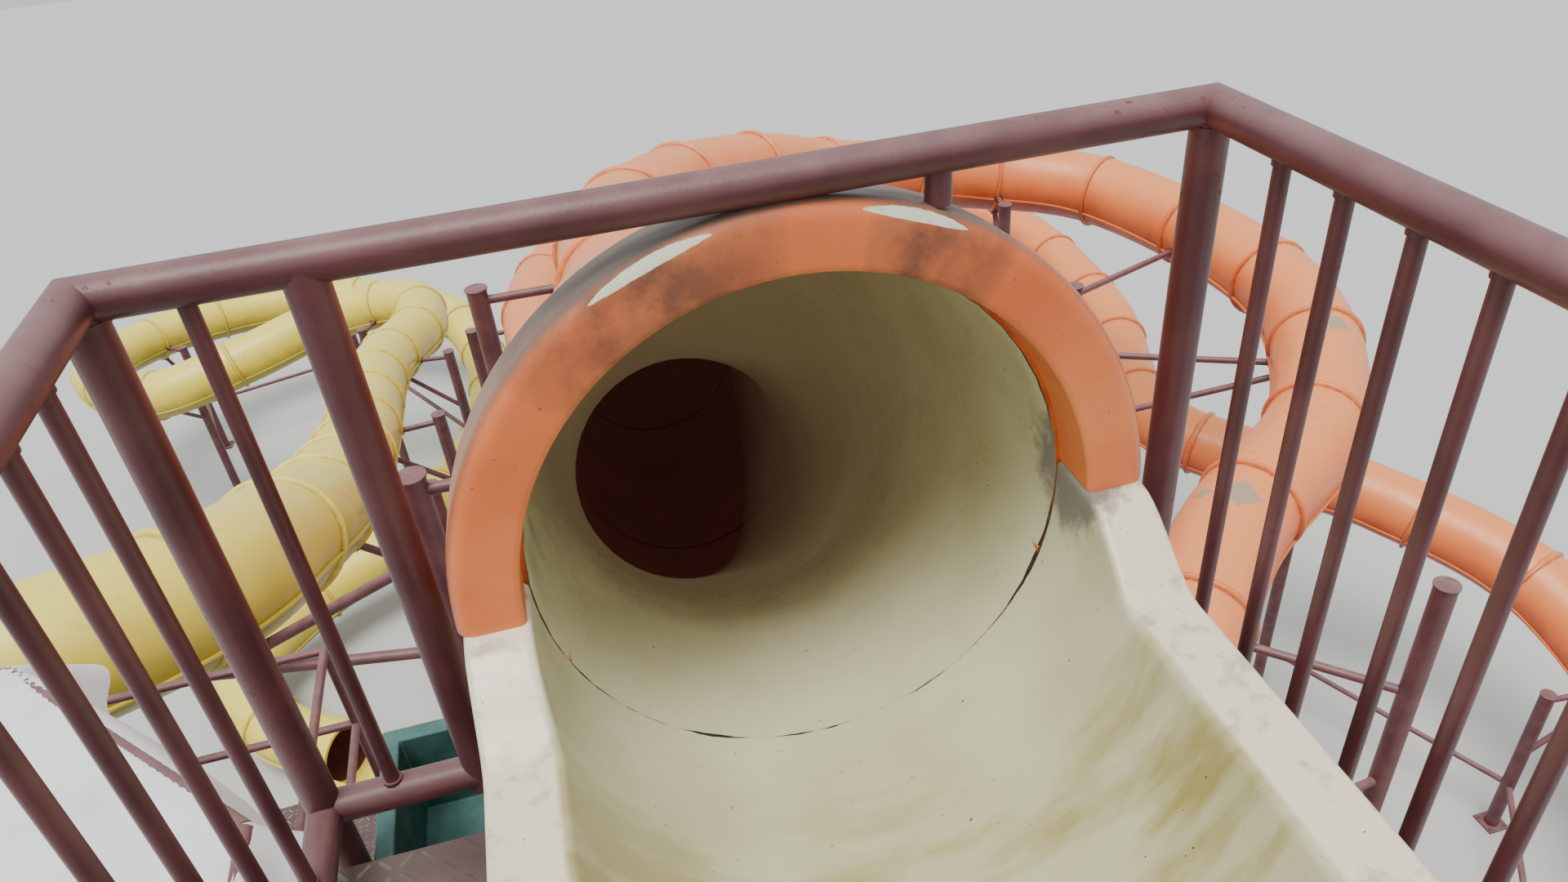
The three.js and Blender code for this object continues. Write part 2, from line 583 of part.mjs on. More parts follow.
function innerRail() {
  const bodies = [];
  const newelY = (INNER_FRONT + INNER_REAR) / 2;
  const out = NEWEL / 2 + 1;
  for (let k = 0; k < 4; k += 1) {
    const y = k % 2 === 0 ? INNER_REAR : INNER_FRONT;
    const { foot, head, posts } = flightRail(k, y);
    const step = FLIGHTS[k].dir * out;
    const rise = out * RISER / GOING;
    const start = k === 0 ? foot : [foot[0] - step, y, foot[2] - rise];
    bodies.push(...railRun([start, [head[0] + step, y, head[2] + rise]], [0, MID]), ...posts);
    bodies.push(post([head[0] + step, newelY, head[2] + RISER + 60], (k + 1) * STOREY + GAP, NEWEL));
  }
  return join(bodies);
}

// Guard rails of the top deck: top rail, bottom rail, posts and round balusters
const RAIL_TOP = DECK + RAIL_HEIGHT;
const RAIL_BOTTOM = DECK + RAIL_LOW;

function balusters(from, to, first) {
  const length = Math.hypot(to[0] - from[0], to[1] - from[1]);
  const bodies = [];
  for (let s = first; s < length - BALUSTER_PITCH / 2; s += BALUSTER_PITCH) {
    const x = from[0] + (to[0] - from[0]) * s / length;
    const y = from[1] + (to[1] - from[1]) * s / length;
    bodies.push(pipe([x, y, RAIL_BOTTOM], [x, y, RAIL_TOP], BALUSTER, 4));
  }
  return bodies;
}

function guardPanel(from, to, posts, first) {
  const bodies = [RAIL_TOP, RAIL_BOTTOM].map((z) => pipe([...from, z], [...to, z], RAIL_PIPE, 6));
  for (const [x, y, foot] of posts) bodies.push(pipe([x, y, foot], [x, y, RAIL_TOP + RAIL_PIPE / 2], RAIL_PIPE, 6));
  return join([...bodies, ...balusters(from, to, first)]);
}

const HANG = DECK - 150;         // foot of the two corner posts, on the face of the front beam
const STAND = DECK + GAP;
const POST_B = -619;             // post beside the tub
const BALUSTER_A = -764;
const STUB_X = 234;              // short post from the front rail to the hood
const FIRST_BALUSTER = 171;
const LEFT_END = FRONT_LANE + 60;
const REAR_LINE = STAIR_BACK + 45;

function guardRails() {
  addPiece('left_guard_rail', guardPanel([LEFT_X, RAIL_Y], [LEFT_X, LEFT_END],
    [[LEFT_X, RAIL_Y, HANG], [LEFT_X, -1100, STAND], [LEFT_X, -2250, STAND], [LEFT_X, LEFT_END, STAND]],
    FIRST_BALUSTER), MAROON);
  addPiece('right_guard_rail', guardPanel([RIGHT_X, RAIL_Y], [RIGHT_X, LEFT_END],
    [[RIGHT_X, RAIL_Y, HANG], [RIGHT_X, -1100, STAND], [RIGHT_X, -2250, STAND], [RIGHT_X, LEFT_END, STAND]],
    FIRST_BALUSTER), MAROON);
  const z = DECK + HAND;
  const line = [[RIGHT_X, LEFT_END - 90, z], [RIGHT_X, REAR_LINE, z], [LEFT_X, REAR_LINE, z], [LEFT_X, INNER_REAR - 70, z]];
  addPiece('top_landing_rail', join([...railRun(line, [0, MID]), ...line.map((at) => post(at, STAND))]), MAROON);
  const low = RAIL_BOTTOM - RAIL_PIPE / 2;
  const front = join([
    pipe([LEFT_X, RAIL_Y, RAIL_TOP], [RIGHT_X, RAIL_Y, RAIL_TOP], RAIL_PIPE, 8),
    pipe([LEFT_X, RAIL_Y, RAIL_BOTTOM], [POST_B, RAIL_Y, RAIL_BOTTOM], RAIL_PIPE, 8),
    pipe([POST_B, RAIL_Y, low], [POST_B, RAIL_Y, RAIL_TOP], RAIL_PIPE, 8),
    pipe([BALUSTER_A, RAIL_Y, RAIL_BOTTOM], [BALUSTER_A, RAIL_Y, RAIL_TOP], BALUSTER, 6),
    pipe([STUB_X, RAIL_Y, MOUTH + HOOD_IN], [STUB_X, RAIL_Y, RAIL_TOP], 40, 8)]);
  const inset = RAIL_PIPE / 2 + GAP;
  addPiece('front_guard_rail', front.trimByPlane([1, 0, 0], LEFT_X + inset).trimByPlane([-1, 0, 0], inset - RIGHT_X)
    .subtract(hoodBlank(GAP)), MAROON);
}

// Orange hood: a half ring of channel section that leans with the first tube, standing on the tub's rims
function halfRing(inner, outer, y0, y1) {
  const shape = new THREE.Shape();
  const over = 0.25;
  shape.absarc(0, 0, outer, -over, Math.PI + over, false);
  shape.absarc(0, 0, inner, Math.PI + over, -over, true);
  const geometry = new THREE.ExtrudeGeometry(shape, { depth: y1 - y0, bevelEnabled: false, curveSegments: 14 });
  geometry.rotateX(Math.PI / 2);
  geometry.translate(0, y1, 0);
  geometry.rotateX(-HOOD_LEAN);
  geometry.translate(0, 0, MOUTH);
  return solid(geometry);
}

function hoodBlank(grow) {
  return halfRing(HOOD_IN - grow, HOOD_OUT + grow, -grow, HOOD_DEPTH);
}

function hood() {
  const hollow = halfRing(HOOD_IN + HOOD_WALL, HOOD_OUT - HOOD_WALL, HOOD_WALL, HOOD_DEPTH + 1);
  const below = box(-2 * HOOD_OUT, 2 * HOOD_OUT, -HOOD_OUT, HOOD_OUT, 0, MOUTH + GAP);
  return hoodBlank(0).subtract(hollow).subtract(below).subtract(tubeSpace(orangeRoute, 0, 1, 3 * GAP));
}

// Start tub of the orange flume: a channel whose rims rise to the hood
function tubRim(y) {
  const rise = 200;
  const t = THREE.MathUtils.clamp((y + rise) / rise, 0, 1);
  return -RIM_DROP * (1 - t * t * (3 - 2 * t));
}

function straightRoute(from, to) {
  return new THREE.LineCurve3(new THREE.Vector3(...from), new THREE.Vector3(...to));
}

function startTub() {
  const front = RAIL_Y + 20;
  const route = straightRoute([0, TUB_BACK, MOUTH], [0, front, MOUTH]);
  const length = front - TUB_BACK;
  const rimAt = (s) => tubRim(TUB_BACK + s);
  const back = channel(route, 0, length - 320, () => -RIM_DROP, 1);
  const mouth = channel(route, length - 320, length, rimAt, 5);
  const foot = box(-150, 150, TUB_BACK, 40, DECK + GAP, DECK + 60)
    .subtract(pipe([0, TUB_BACK - 10, MOUTH], [0, 100, MOUTH], 2 * CHANNEL_OUT - 10, 24));
  const endWall = channelEnd(route, 0);
  return trimAt(join([back, mouth, foot, endWall]), orangeRoute, 0, -1);
}

// End wall of an open channel
function channelEnd(route, s) {
  const thick = 14;
  const { place, ahead } = stationOf(route, s);
  const shape = new THREE.Shape();
  const angle = Math.asin(RIM_DROP / CHANNEL_BORE);
  shape.absarc(0, 0, CHANNEL_BORE + 6, Math.PI + angle, -angle, false);
  const geometry = extrude(shape, thick);
  geometry.rotateX(Math.PI / 2);
  geometry.rotateZ(Math.atan2(ahead.y, ahead.x) - Math.PI / 2);
  geometry.translate(place.x + ahead.x * thick, place.y + ahead.y * thick, place.z);
  return solid(geometry);
}

// Teal valve box on the face of the deck's front beam
function valveBox() {
  const [x0, x1, y0, y1] = [-850, -600, DECK_FRONT + GAP, 400];
  const [z0, z1, wall] = [DECK - 310, DECK - 60, 35];
  return box(x0, x1, y0, y1, z0, z1).subtract(box(x0 + wall, x1 - wall, y0 + wall, y1 - wall, z0 + wall, z1 + 1));
}

// A flume's tube: the short entry piece and then sections of several pieces each, meeting at rings
function flume(name, route, sections, look) {
  const rings = Math.round(route.getLength() / ringPitch(route));
  addPiece(`${name}_entry_tube`, tube(route, 0, 1), look);
  for (let k = 0; k < sections; k += 1) {
    const [first, last] = [k, k + 1].map((part) => 1 + Math.round((rings - 1) * part / sections));
    addPiece(`${name}_tube_${k + 1}`, tube(route, first, last), look);
  }
}

const ORANGE_SECTIONS = 6;
const YELLOW_SECTIONS = 4;

// Trestles: masts beside the flumes, tied together. A mast stands off the ring that its first arm
// carries, on the rider's right (1) or left (-1). An arm runs level at a drop below the tube's axis,
// or from a little higher on the mast, with a strut from below or above.
const MAST_OFF = 950;
const MAST_RISE = 110;           // top of a mast over its highest arm
const MAST_CAP = 220;
const CAP_T = 16;
const ARM_DROP = 150;
const UNDER_ARM = 600;           // drop of an arm that passes under the tube
const STRUT_DROP = 1000;
const STRUT_END = 300;           // where a strut meets the tube, under its axis

const TRESTLES = [
  { ties: [1500, 5000], masts: [
    { side: -1, off: 1450, arms: [{ flume: 'orange', ring: 3, drop: UNDER_ARM },
      { flume: 'yellow', ring: 1, drop: UNDER_ARM, strut: 800 }] },
    { side: -1, off: 1150, arms: [{ flume: 'orange', ring: 5, drop: 230 }] },
    { side: 1, arms: [{ flume: 'yellow', ring: 3 }] }] },
  { ties: [1500, 5500], masts: [
    { side: 1, arms: [{ flume: 'orange', ring: 8 }] },
    { side: 1, arms: [{ flume: 'orange', ring: 11 }] },
    { side: 1, off: 2560, arms: [{ flume: 'orange', ring: 15, drop: 250 },
      { flume: 'orange', ring: 13, drop: 250, tilt: 600, strut: 0 }] }] },
  { ties: [3000, 5500], masts: [
    { side: -1, off: 1600, rise: 1100, arms: [{ flume: 'orange', ring: 18, strut: -1600 }] },
    { side: -1, off: 1150, arms: [{ flume: 'orange', ring: 20 }] }] },
  { ties: [1500, 4500], masts: [
    { side: -1, arms: [{ flume: 'orange', ring: 24 }] },
    { side: -1, arms: [{ flume: 'orange', ring: 27 }] },
    { side: -1, arms: [{ flume: 'orange', ring: 30 }] }] },
  { ties: [1000, 3000], masts: [
    { side: 1, arms: [{ flume: 'orange', ring: 33 }] },
    { side: 1, arms: [{ flume: 'orange', ring: 36 }] },
    { side: 1, arms: [{ flume: 'orange', ring: 39 }] }] },
  { ties: [800], masts: [
    { side: 1, arms: [{ flume: 'orange', ring: 42 }] },
    { side: 1, arms: [{ flume: 'orange', ring: 45 }] },
    { side: 1, arms: [{ flume: 'orange', ring: 48, strut: 0 }] }] },
  { ties: [3000], masts: [
    { side: 1, arms: [{ flume: 'yellow', ring: 6 }] },
    { side: 1, arms: [{ flume: 'yellow', ring: 9 }] },
    { side: -1, arms: [{ flume: 'yellow', ring: 12 }] }] },
  { ties: [1200], masts: [
    { side: 1, arms: [{ flume: 'yellow', ring: 15 }] },
    { side: 1, arms: [{ flume: 'yellow', ring: 18 }] },
    { side: 1, arms: [{ flume: 'yellow', ring: 21 }] }] },
  { ties: [600], masts: [
    { side: -1, arms: [{ flume: 'yellow', ring: 24 }] },
    { side: 1, arms: [{ flume: 'yellow', ring: 27, strut: 0 }] }] }];
const ROUTES = { orange: orangeRoute, yellow: yellowRoute };

function ringOf({ flume: name, ring }) {
  return stationOf(ROUTES[name], ring * ringPitch(ROUTES[name]));
}

function armLevel(arm) {
  return ringOf(arm).place.z - (arm.drop ?? ARM_DROP) + (arm.tilt ?? 0);
}

function mastPlace({ side, off = MAST_OFF, rise = MAST_RISE, arms }) {
  const { place, right } = ringOf(arms[0]);
  const spot = place.clone().addScaledVector(right, side * off);
  return { x: spot.x, y: spot.y, top: Math.max(...arms.map(armLevel)) + rise };
}

// An arm of a mast, its strut, and the stub that stands on an arm under the tube
function armBodies({ x, y }, arm) {
  const { place } = ringOf(arm);
  const level = armLevel(arm);
  const tip = [place.x, place.y, level - (arm.tilt ?? 0)];
  const strut = arm.strut ?? -STRUT_DROP;
  const bodies = [pipe([x, y, level], tip, BRACE, 4)];
  if (arm.drop === UNDER_ARM) bodies.push(pipe(tip, [place.x, place.y, place.z], BRACE, 4));
  if (strut > 0) bodies.push(pipe([x, y, level + strut], tip, BRACE, 4));
  if (strut < 0) {
    const end = arm.drop === UNDER_ARM ? tip : [place.x, place.y, place.z - STRUT_END];
    bodies.push(pipe([x, y, level + strut], end, BRACE, 4));
  }
  return bodies;
}

function trestle({ ties, masts }) {
  const spots = masts.map(mastPlace);
  const half = MAST_CAP / 2;
  const bodies = spots.map(({ x, y, top }) => column(x, y, top, 6)
    .add(box(x - half, x + half, y - half, y + half, top - CAP_T / 2, top + CAP_T / 2)));
  spots.slice(1).forEach((b, i) => {
    const a = spots[i];
    for (const level of ties) bodies.push(pipe([a.x, a.y, level], [b.x, b.y, level], BRACE, 4));
    if (ties.length > 1) bodies.push(pipe([a.x, a.y, ties[0]], [b.x, b.y, ties[1]], BRACE, 4));
  });
  masts.forEach((mast, i) => mast.arms.forEach((arm) => bodies.push(...armBodies(spots[i], arm))));
  let whole = join(bodies);
  for (const arm of masts.flatMap((mast) => mast.arms)) {
    whole = whole.subtract(tubeSpace(ROUTES[arm.flume], arm.ring - 1, arm.ring + 1));
  }
  return whole;
}

// Run-out: an open channel on two feet, level, beyond the last tube
function runOut(route, length) {
  const end = stationOf(route, route.getLength());
  const dir = new THREE.Vector3(end.ahead.x, end.ahead.y, 0).normalize();
  const a = end.place.clone().addScaledVector(dir, -BASE_PLATE);
  const b = end.place.clone().addScaledVector(dir, length);
  b.z = a.z;
  const line = straightRoute(a.toArray(), [b.x, b.y, a.z]);
  const trough = channel(line, 0, length + BASE_PLATE, () => -RIM_DROP, 1);
  const feet = [0.25, 0.85].map((t) => {
    const at = a.clone().lerp(b, t);
    const foot = new THREE.BoxGeometry(120, 700, at.z - 250);
    foot.rotateZ(Math.atan2(dir.y, dir.x));
    foot.translate(at.x, at.y, (at.z - 250) / 2);
    return solid(foot).subtract(pipe([a.x - dir.x * 50, a.y - dir.y * 50, a.z], [b.x, b.y, a.z], 2 * CHANNEL_OUT - 8, 24));
  });
  return trimAt(join([trough, ...feet]), route, route.getLength(), 1);
}

// Rails of the lower deck and its walkway, open where riders sit into the yellow flume
const YELLOW_Y = YELLOW_ROUTE[0][1] * 1000;

function lowerRails() {
  const z = LOWER_DECK + HAND;
  const left = LANDING_LEFT + 40;
  const right = LOWER_RIGHT - 40;
  const bayX = BAY_RIGHT - 40;
  const opening = 600;
  const lines = {
    lower_left_rail: [[STAIR_LEFT, OUTER_REAR, z], [left, OUTER_REAR, z], [left, -3100, z], [left, -1400, z],
      [left, 300, z], [left, 2000, z], [left, 3300, z], [left, BAY_FRONT - 40, z], [-5300, BAY_FRONT - 40, z],
      [bayX, BAY_FRONT - 40, z], [bayX, YELLOW_Y + opening, z]],
    lower_front_rail: [[bayX, YELLOW_Y - opening, z], [bayX, LOWER_FRONT - 40, z], [-3000, LOWER_FRONT - 40, z],
      [right, LOWER_FRONT - 40, z], [right, 1500, z], [right, LOWER_BACK + 40, z]],
    lower_rear_rail: [[right - 80, LOWER_BACK + 40, z], [-3000, LOWER_BACK + 40, z], [STAIR_LEFT - 40, LOWER_BACK + 40, z],
      [STAIR_LEFT - 40, -1600, z], [STAIR_LEFT - 40, OUTER_FRONT + 60, z]]
  };
  for (const [name, points] of Object.entries(lines)) {
    const posts = points.slice(name === 'lower_left_rail' ? 1 : 0).map((at) => post(at, LOWER_DECK + GAP));
    addPiece(name, join([...railRun(points, [0, MID]), ...posts]), MAROON);
  }
}

// Start trough of the yellow flume, on the bay of the lower deck
function yellowStart() {
  const [x, y] = YELLOW_ROUTE[0].map((value) => value * 1000);
  const z = LOWER_DECK + TUBE_OVER_DECK;
  const line = straightRoute([x - 1200, y, z], [x - GAP - 1, y, z]);
  const trough = channel(line, 0, 1200 - GAP - 1, () => -RIM_DROP, 1);
  const foot = box(x - 1200, BAY_RIGHT - 10, y - 150, y + 150, LOWER_DECK + GAP, LOWER_DECK + 60)
    .subtract(pipe([x - 1300, y, z], [x, y, z], 2 * CHANNEL_OUT - 10, 24));
  return trimAt(join([trough, foot, channelEnd(line, 0)]), yellowRoute, 0, -1);
}

// Canopy over the lower deck: a frame of pipes whose front right corner is cut, and the sheet on it
const CANOPY = { x0: -6100, x1: -1300, y0: -700, y1: 1800, corner: 1300, z: LOWER_DECK + 2230 };
const CANOPY_PIPE = 60;
const CANOPY_CUT = [-2200, 800]; // the corner pipe starts at this X on the front pipe, ends at this Y on the right one

function canopyFrame() {
  const { x0, x1, y0, y1, z } = CANOPY;
  const top = z - CANOPY_PIPE / 2;
  const [left, middle, side, right] = [x0 + 100, (x0 + x1) / 2, LOWER_RIGHT - 120, x1 - 90];
  const [near, back, front] = [y0 + 60, LOWER_BACK + 120, y1 - 150];
  const [cutX, cutY] = CANOPY_CUT;
  const sideEnd = front + (cutY - front) * (side - cutX) / (right - cutX);
  const posts = [[left, back], [side, back], [left, front], [cutX, front]];
  const runs = [[x0 + 60, near, x1 - 60, near], [x0 + 60, back, x1 - 60, back], [x0 + 60, front, cutX, front],
    [left, near, left, front], [middle, near, middle, front], [side, near, side, sideEnd],
    [right, near, right, cutY], [cutX, front, right, cutY]];
  return join([
    ...posts.map(([x, y]) => pipe([x, y, LOWER_DECK + GAP], [x, y, top], CANOPY_PIPE, 4)),
    ...runs.map(([xa, ya, xb, yb]) => pipe([xa, ya, top], [xb, yb, top], CANOPY_PIPE, 4))]);
}

function canopy() {
  const { x0, x1, y0, y1, corner, z } = CANOPY;
  const shape = new THREE.Shape();
  shape.moveTo(x0, y0);
  shape.lineTo(x1, y0);
  shape.lineTo(x1, y1 - corner);
  shape.absarc(x1 - corner, y1 - corner, corner, 0, Math.PI / 2, false);
  shape.lineTo(x0, y1);
  const sheet = extrude(shape, 40);
  sheet.translate(0, 0, z + GAP);
  return solid(sheet);
}

function build() {
  towerFrames();
  decks();
  lowerDeck();
  stairs();
  outerRails();
  addPiece('stair_inner_rail', innerRail(), MAROON);
  guardRails();
  lowerRails();
  addPiece('entry_hood', hood(), ORANGE);
  addPiece('start_tub', startTub(), CREAM);
  addPiece('valve_box', valveBox(), TEAL);
  flume('orange', orangeRoute, ORANGE_SECTIONS, ORANGE);
  addPiece('orange_run_out', runOut(orangeRoute, 4000), ORANGE);
  flume('yellow', yellowRoute, YELLOW_SECTIONS, YELLOW);
  addPiece('yellow_run_out', runOut(yellowRoute, 3000), YELLOW);
  addPiece('yellow_start_trough', yellowStart(), YELLOW);
  TRESTLES.forEach((plan, i) => addPiece(`flume_trestle_${i + 1}`, trestle(plan), MAROON));
  addPiece('canopy_frame', canopyFrame(), MAROON);
  addPiece('canopy', canopy(), TARP);
}

build();
const whole = new THREE.Box3().setFromObject(tower);
for (const mesh of tower.children) {
  mesh.geometry.translate(-(whole.min.x + whole.max.x) / 2, -(whole.min.y + whole.max.y) / 2, -whole.min.z);
}

export default tower;
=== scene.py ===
# %% [markdown]
# # A water slide tower, dressed
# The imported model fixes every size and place. This lesson gives it the surfaces of the real thing:
# painted steel, sun-faded glass-fibre flumes, a stained start tub and a slack tarpaulin. Everything is
# in metres. Most places are counted from the middle of the orange flume's mouth, because that is how
# the tower was measured, and one vector moves them into the model's own frame.

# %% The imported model
import math

import bmesh
import bpy
from mathutils import Matrix, Vector


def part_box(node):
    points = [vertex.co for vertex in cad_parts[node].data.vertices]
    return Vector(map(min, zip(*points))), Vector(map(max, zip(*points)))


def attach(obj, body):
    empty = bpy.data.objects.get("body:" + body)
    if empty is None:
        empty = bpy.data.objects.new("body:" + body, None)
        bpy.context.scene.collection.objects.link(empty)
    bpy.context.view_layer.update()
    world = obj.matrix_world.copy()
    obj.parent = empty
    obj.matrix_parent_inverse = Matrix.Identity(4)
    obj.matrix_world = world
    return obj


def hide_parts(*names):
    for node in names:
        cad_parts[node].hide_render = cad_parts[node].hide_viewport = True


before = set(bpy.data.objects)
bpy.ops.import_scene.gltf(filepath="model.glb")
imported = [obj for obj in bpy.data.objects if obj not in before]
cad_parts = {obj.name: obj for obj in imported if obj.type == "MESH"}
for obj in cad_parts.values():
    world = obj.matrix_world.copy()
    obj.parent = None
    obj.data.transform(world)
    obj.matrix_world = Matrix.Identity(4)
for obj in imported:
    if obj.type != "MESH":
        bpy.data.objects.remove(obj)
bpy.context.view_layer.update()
deck_low, deck_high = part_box("deck_plate")
MOUTH_Z = 12.0
ORIGIN = Vector((deck_low.x + 0.930, deck_high.y - 0.040, 0))
print("mouth of the orange flume at", [round(value, 3) for value in ORIGIN], "and", MOUTH_Z, "m up")

# %% [markdown]
# ## Camera
# The photograph looks forwards and down from over the start tub, with the scene's right side tipped up.
# The three turns and the place were solved from the rim of the hood and the lines of the guard rail,
# so they are set as numbers instead of being aimed by hand.

# %% Camera
LENS_MM = 24.85
YAW, PITCH, ROLL = 0.2025, 0.5949, 0.0968
EYE = Vector((-0.305, -1.282, 1.118))


def camera_axes():
    """Right, up and backward directions of the camera."""
    level_right = Vector((math.cos(YAW), -math.sin(YAW), 0))
    level_ahead = Vector((math.sin(YAW), math.cos(YAW), 0))
    ahead = level_ahead * math.cos(PITCH) - Vector((0, 0, math.sin(PITCH)))
    down = -level_ahead * math.sin(PITCH) - Vector((0, 0, math.cos(PITCH)))
    right = level_right * math.cos(ROLL) + down * math.sin(ROLL)
    lower = -level_right * math.sin(ROLL) + down * math.cos(ROLL)
    return right, -lower, -ahead


camera_data = bpy.data.cameras.new("camera")
camera_data.lens = LENS_MM
camera_data.sensor_width = 36
camera_data.clip_start = 0.02
camera_data.clip_end = 300
camera = bpy.data.objects.new("camera", camera_data)
bpy.context.scene.collection.objects.link(camera)
camera.matrix_world = (Matrix.Translation(ORIGIN + Vector((0, 0, MOUTH_Z)) + EYE)
                       @ Matrix(camera_axes()).transposed().to_4x4())
bpy.context.scene.camera = camera
print("camera", [round(value, 2) for value in camera.location])

# %% [markdown]
# ## Colours and nodes
# A colour is written as the sRGB hex value that a paint card would give. Blender mixes light in linear
# values, so one function turns the hex value over. A second one adds any node: its settings, and its
# inputs as plain values or as other nodes. Patterns take their size in millimetres from the real thing,
# and a finish is a first colour with coats laid over it, each where a pattern lets it show.

# %% Colours and nodes


def linear(hex_value):
    """An sRGB hex colour as linear red, green, blue and alpha."""
    channels = [((hex_value >> shift) & 255) / 255 for shift in (16, 8, 0)]
    return [c / 12.92 if c <= 0.04045 else ((c + 0.055) / 1.055) ** 2.4 for c in channels] + [1]


def wire(tree, node, inputs):
    """Gives a node its inputs, in order or by name: values, sockets, or nodes for their first output."""
    if not isinstance(inputs, dict):
        inputs = dict(zip([i for i, socket in enumerate(node.inputs) if socket.enabled], inputs))
    for key, value in inputs.items():
        if isinstance(value, bpy.types.Node):
            value = next(socket for socket in value.outputs if socket.enabled)
        if isinstance(value, bpy.types.NodeSocket):
            tree.links.new(value, node.inputs[key])
        else:
            node.inputs[key].default_value = value


def add(tree, kind, inputs=(), stops=(), **settings):
    """A node with its settings and inputs, and for a ramp its stops of place and grey."""
    node = tree.nodes.new(kind)
    for name, value in settings.items():
        setattr(node, name, value)
    wire(tree, node, inputs)
    for i, (place, level) in enumerate(stops):
        node.color_ramp.elements[i].position = place
        node.color_ramp.elements[i].color = (level, level, level, 1)
    return node


print("white as linear light", linear(0xFFFFFF))

# %% [markdown]
# ### What every finish starts from
# Six small effects are shared by the finishes: an empty material, a cloudy pattern of a real size, coats
# of colour, places counted from the mouth, how much a face looks up, and the distance past a plane.

# %% Shared effects


def finish_named(name, **shader):
    """An empty material with its shader set: the material, its tree, its shader and its places."""
    made = bpy.data.materials.new(name)
    made.use_nodes = True
    tree = made.node_tree
    tree.nodes.clear()
    settings = {key.replace("_", " "): value for key, value in shader.items()}
    surface = add(tree, "ShaderNodeBsdfPrincipled", settings)
    add(tree, "ShaderNodeOutputMaterial", [surface])
    return made, tree, surface, add(tree, "ShaderNodeTexCoord").outputs["Object"]


def cloudy(tree, place, size_mm, *stops, detail=3.0, roughness=0.55):
    """Clouds of a real size, their greys stretched between stops. Decimals only hold a cloud's place."""
    clouds = add(tree, "ShaderNodeTexNoise", {"Vector": place, "Scale": 1000 / size_mm, "Detail": detail,
                                              "Roughness": roughness})
    return add(tree, "ShaderNodeValToRGB", [clouds], stops=stops)


def coats(tree, colour, *layers):
    """A colour under others, each with the share of the surface that it hides. Plain colours are hex."""
    colour = linear(colour) if isinstance(colour, int) else colour
    for share, over in layers:
        over = linear(over) if isinstance(over, int) else over
        colour = add(tree, "ShaderNodeMix", [share, colour, over], data_type="RGBA")
    return colour


def from_mouth(tree, place):
    """Places counted from the middle of the orange flume's mouth."""
    return add(tree, "ShaderNodeMapping", {"Vector": place, "Location": -ORIGIN - Vector((0, 0, MOUTH_Z))})


def facing_up(tree):
    """From 0 on a face that looks down to 1 on one that looks up."""
    normal = add(tree, "ShaderNodeNewGeometry").outputs["Normal"]
    height = add(tree, "ShaderNodeSeparateXYZ", [normal]).outputs["Z"]
    return add(tree, "ShaderNodeMath", [height, 0.5, 0.5], operation="MULTIPLY_ADD")


def past_plane(tree, place, point, slope):
    """Distance past the plane through a point that leans back by a slope."""
    ahead = Vector((0, math.cos(slope), -math.sin(slope)))
    along = add(tree, "ShaderNodeVectorMath", [place, ahead], operation="DOT_PRODUCT")
    return add(tree, "ShaderNodeMath", [along, ahead.dot(point)], operation="SUBTRACT")


print("effects ready")

# %% [markdown]
# ## Painted steel
# The steel is round pipe with brushed maroon alkyd paint. What looks up is lighter, a mauve grey that is
# partly chalking by rain and sun and partly a painted highlight. The paint stays darker underneath, and
# rust comes through in spots 17 mm wide. Paint is a dielectric, so metallic stays at 0 and the rust only
# changes colour, roughness and height.

# %% Painted steel


def painted_steel():
    made, tree, surface, place = finish_named("maroon_alkyd_paint_on_steel", IOR=1.5)
    uneven = cloudy(tree, place, 200, (0.35, 0), (0.7, 1))
    # painted highlight: faces that look up turn a lighter mauve grey, partly chalking and partly painted
    # light
    upper = add(tree, "ShaderNodeValToRGB", [facing_up(tree)], stops=[(0.55, 0), (0.95, 1)])
    washed = cloudy(tree, place, 111, (0.3, 0.45), (0.7, 1))
    chalk_and_highlight = add(tree, "ShaderNodeMath", [upper, washed], operation="MULTIPLY")
    rusty_areas = cloudy(tree, place, 455, (0.52, 0), (0.66, 1))
    specks = cloudy(tree, place, 16.667, (0.62, 0), (0.7, 1), detail=4)
    rust = add(tree, "ShaderNodeMath", [specks, rusty_areas], operation="MULTIPLY")
    brush_marks = cloudy(tree, place, 11.111, detail=2)
    height = add(tree, "ShaderNodeMath", [brush_marks, rust], operation="ADD")
    wire(tree, surface, {
        "Base Color": coats(tree, 0x552B30, (uneven, 0x704043), (chalk_and_highlight, 0x8E6A6A), (rust, 0x6E3318)),
        "Roughness": add(tree, "ShaderNodeValToRGB", [rust], stops=[(0, 0.42), (1, 0.85)]),
        "Normal": add(tree, "ShaderNodeBump", {"Height": height, "Strength": 0.25, "Distance": 0.002})})
    return made


steel = painted_steel()
print("steel finish", steel.name)

# %% [markdown]
# ## Galvanised, bolted and walked-on steel
# Bolt heads are zinc plated and gone dull. The decks are chequer plate: lozenges 30 mm long that stand a
# millimetre proud in two directions by turns. Two stretched waves, crossed, give that pattern at its real
# pitch, and its paint is worn to grey on the lozenges' tops.

# %% Zinc and chequer plate


def dull_zinc():
    made, tree, surface, place = finish_named("weathered_zinc_plate", Metallic=0.7)
    cloud = cloudy(tree, place, 14.286)
    wire(tree, surface, {
        "Base Color": coats(tree, 0x6F6A66, (cloud, 0x9A948C)),
        "Roughness": add(tree, "ShaderNodeValToRGB", [cloud], stops=[(0.3, 0.45), (0.7, 0.7)])})
    return made


LOZENGE_PITCH = 0.036


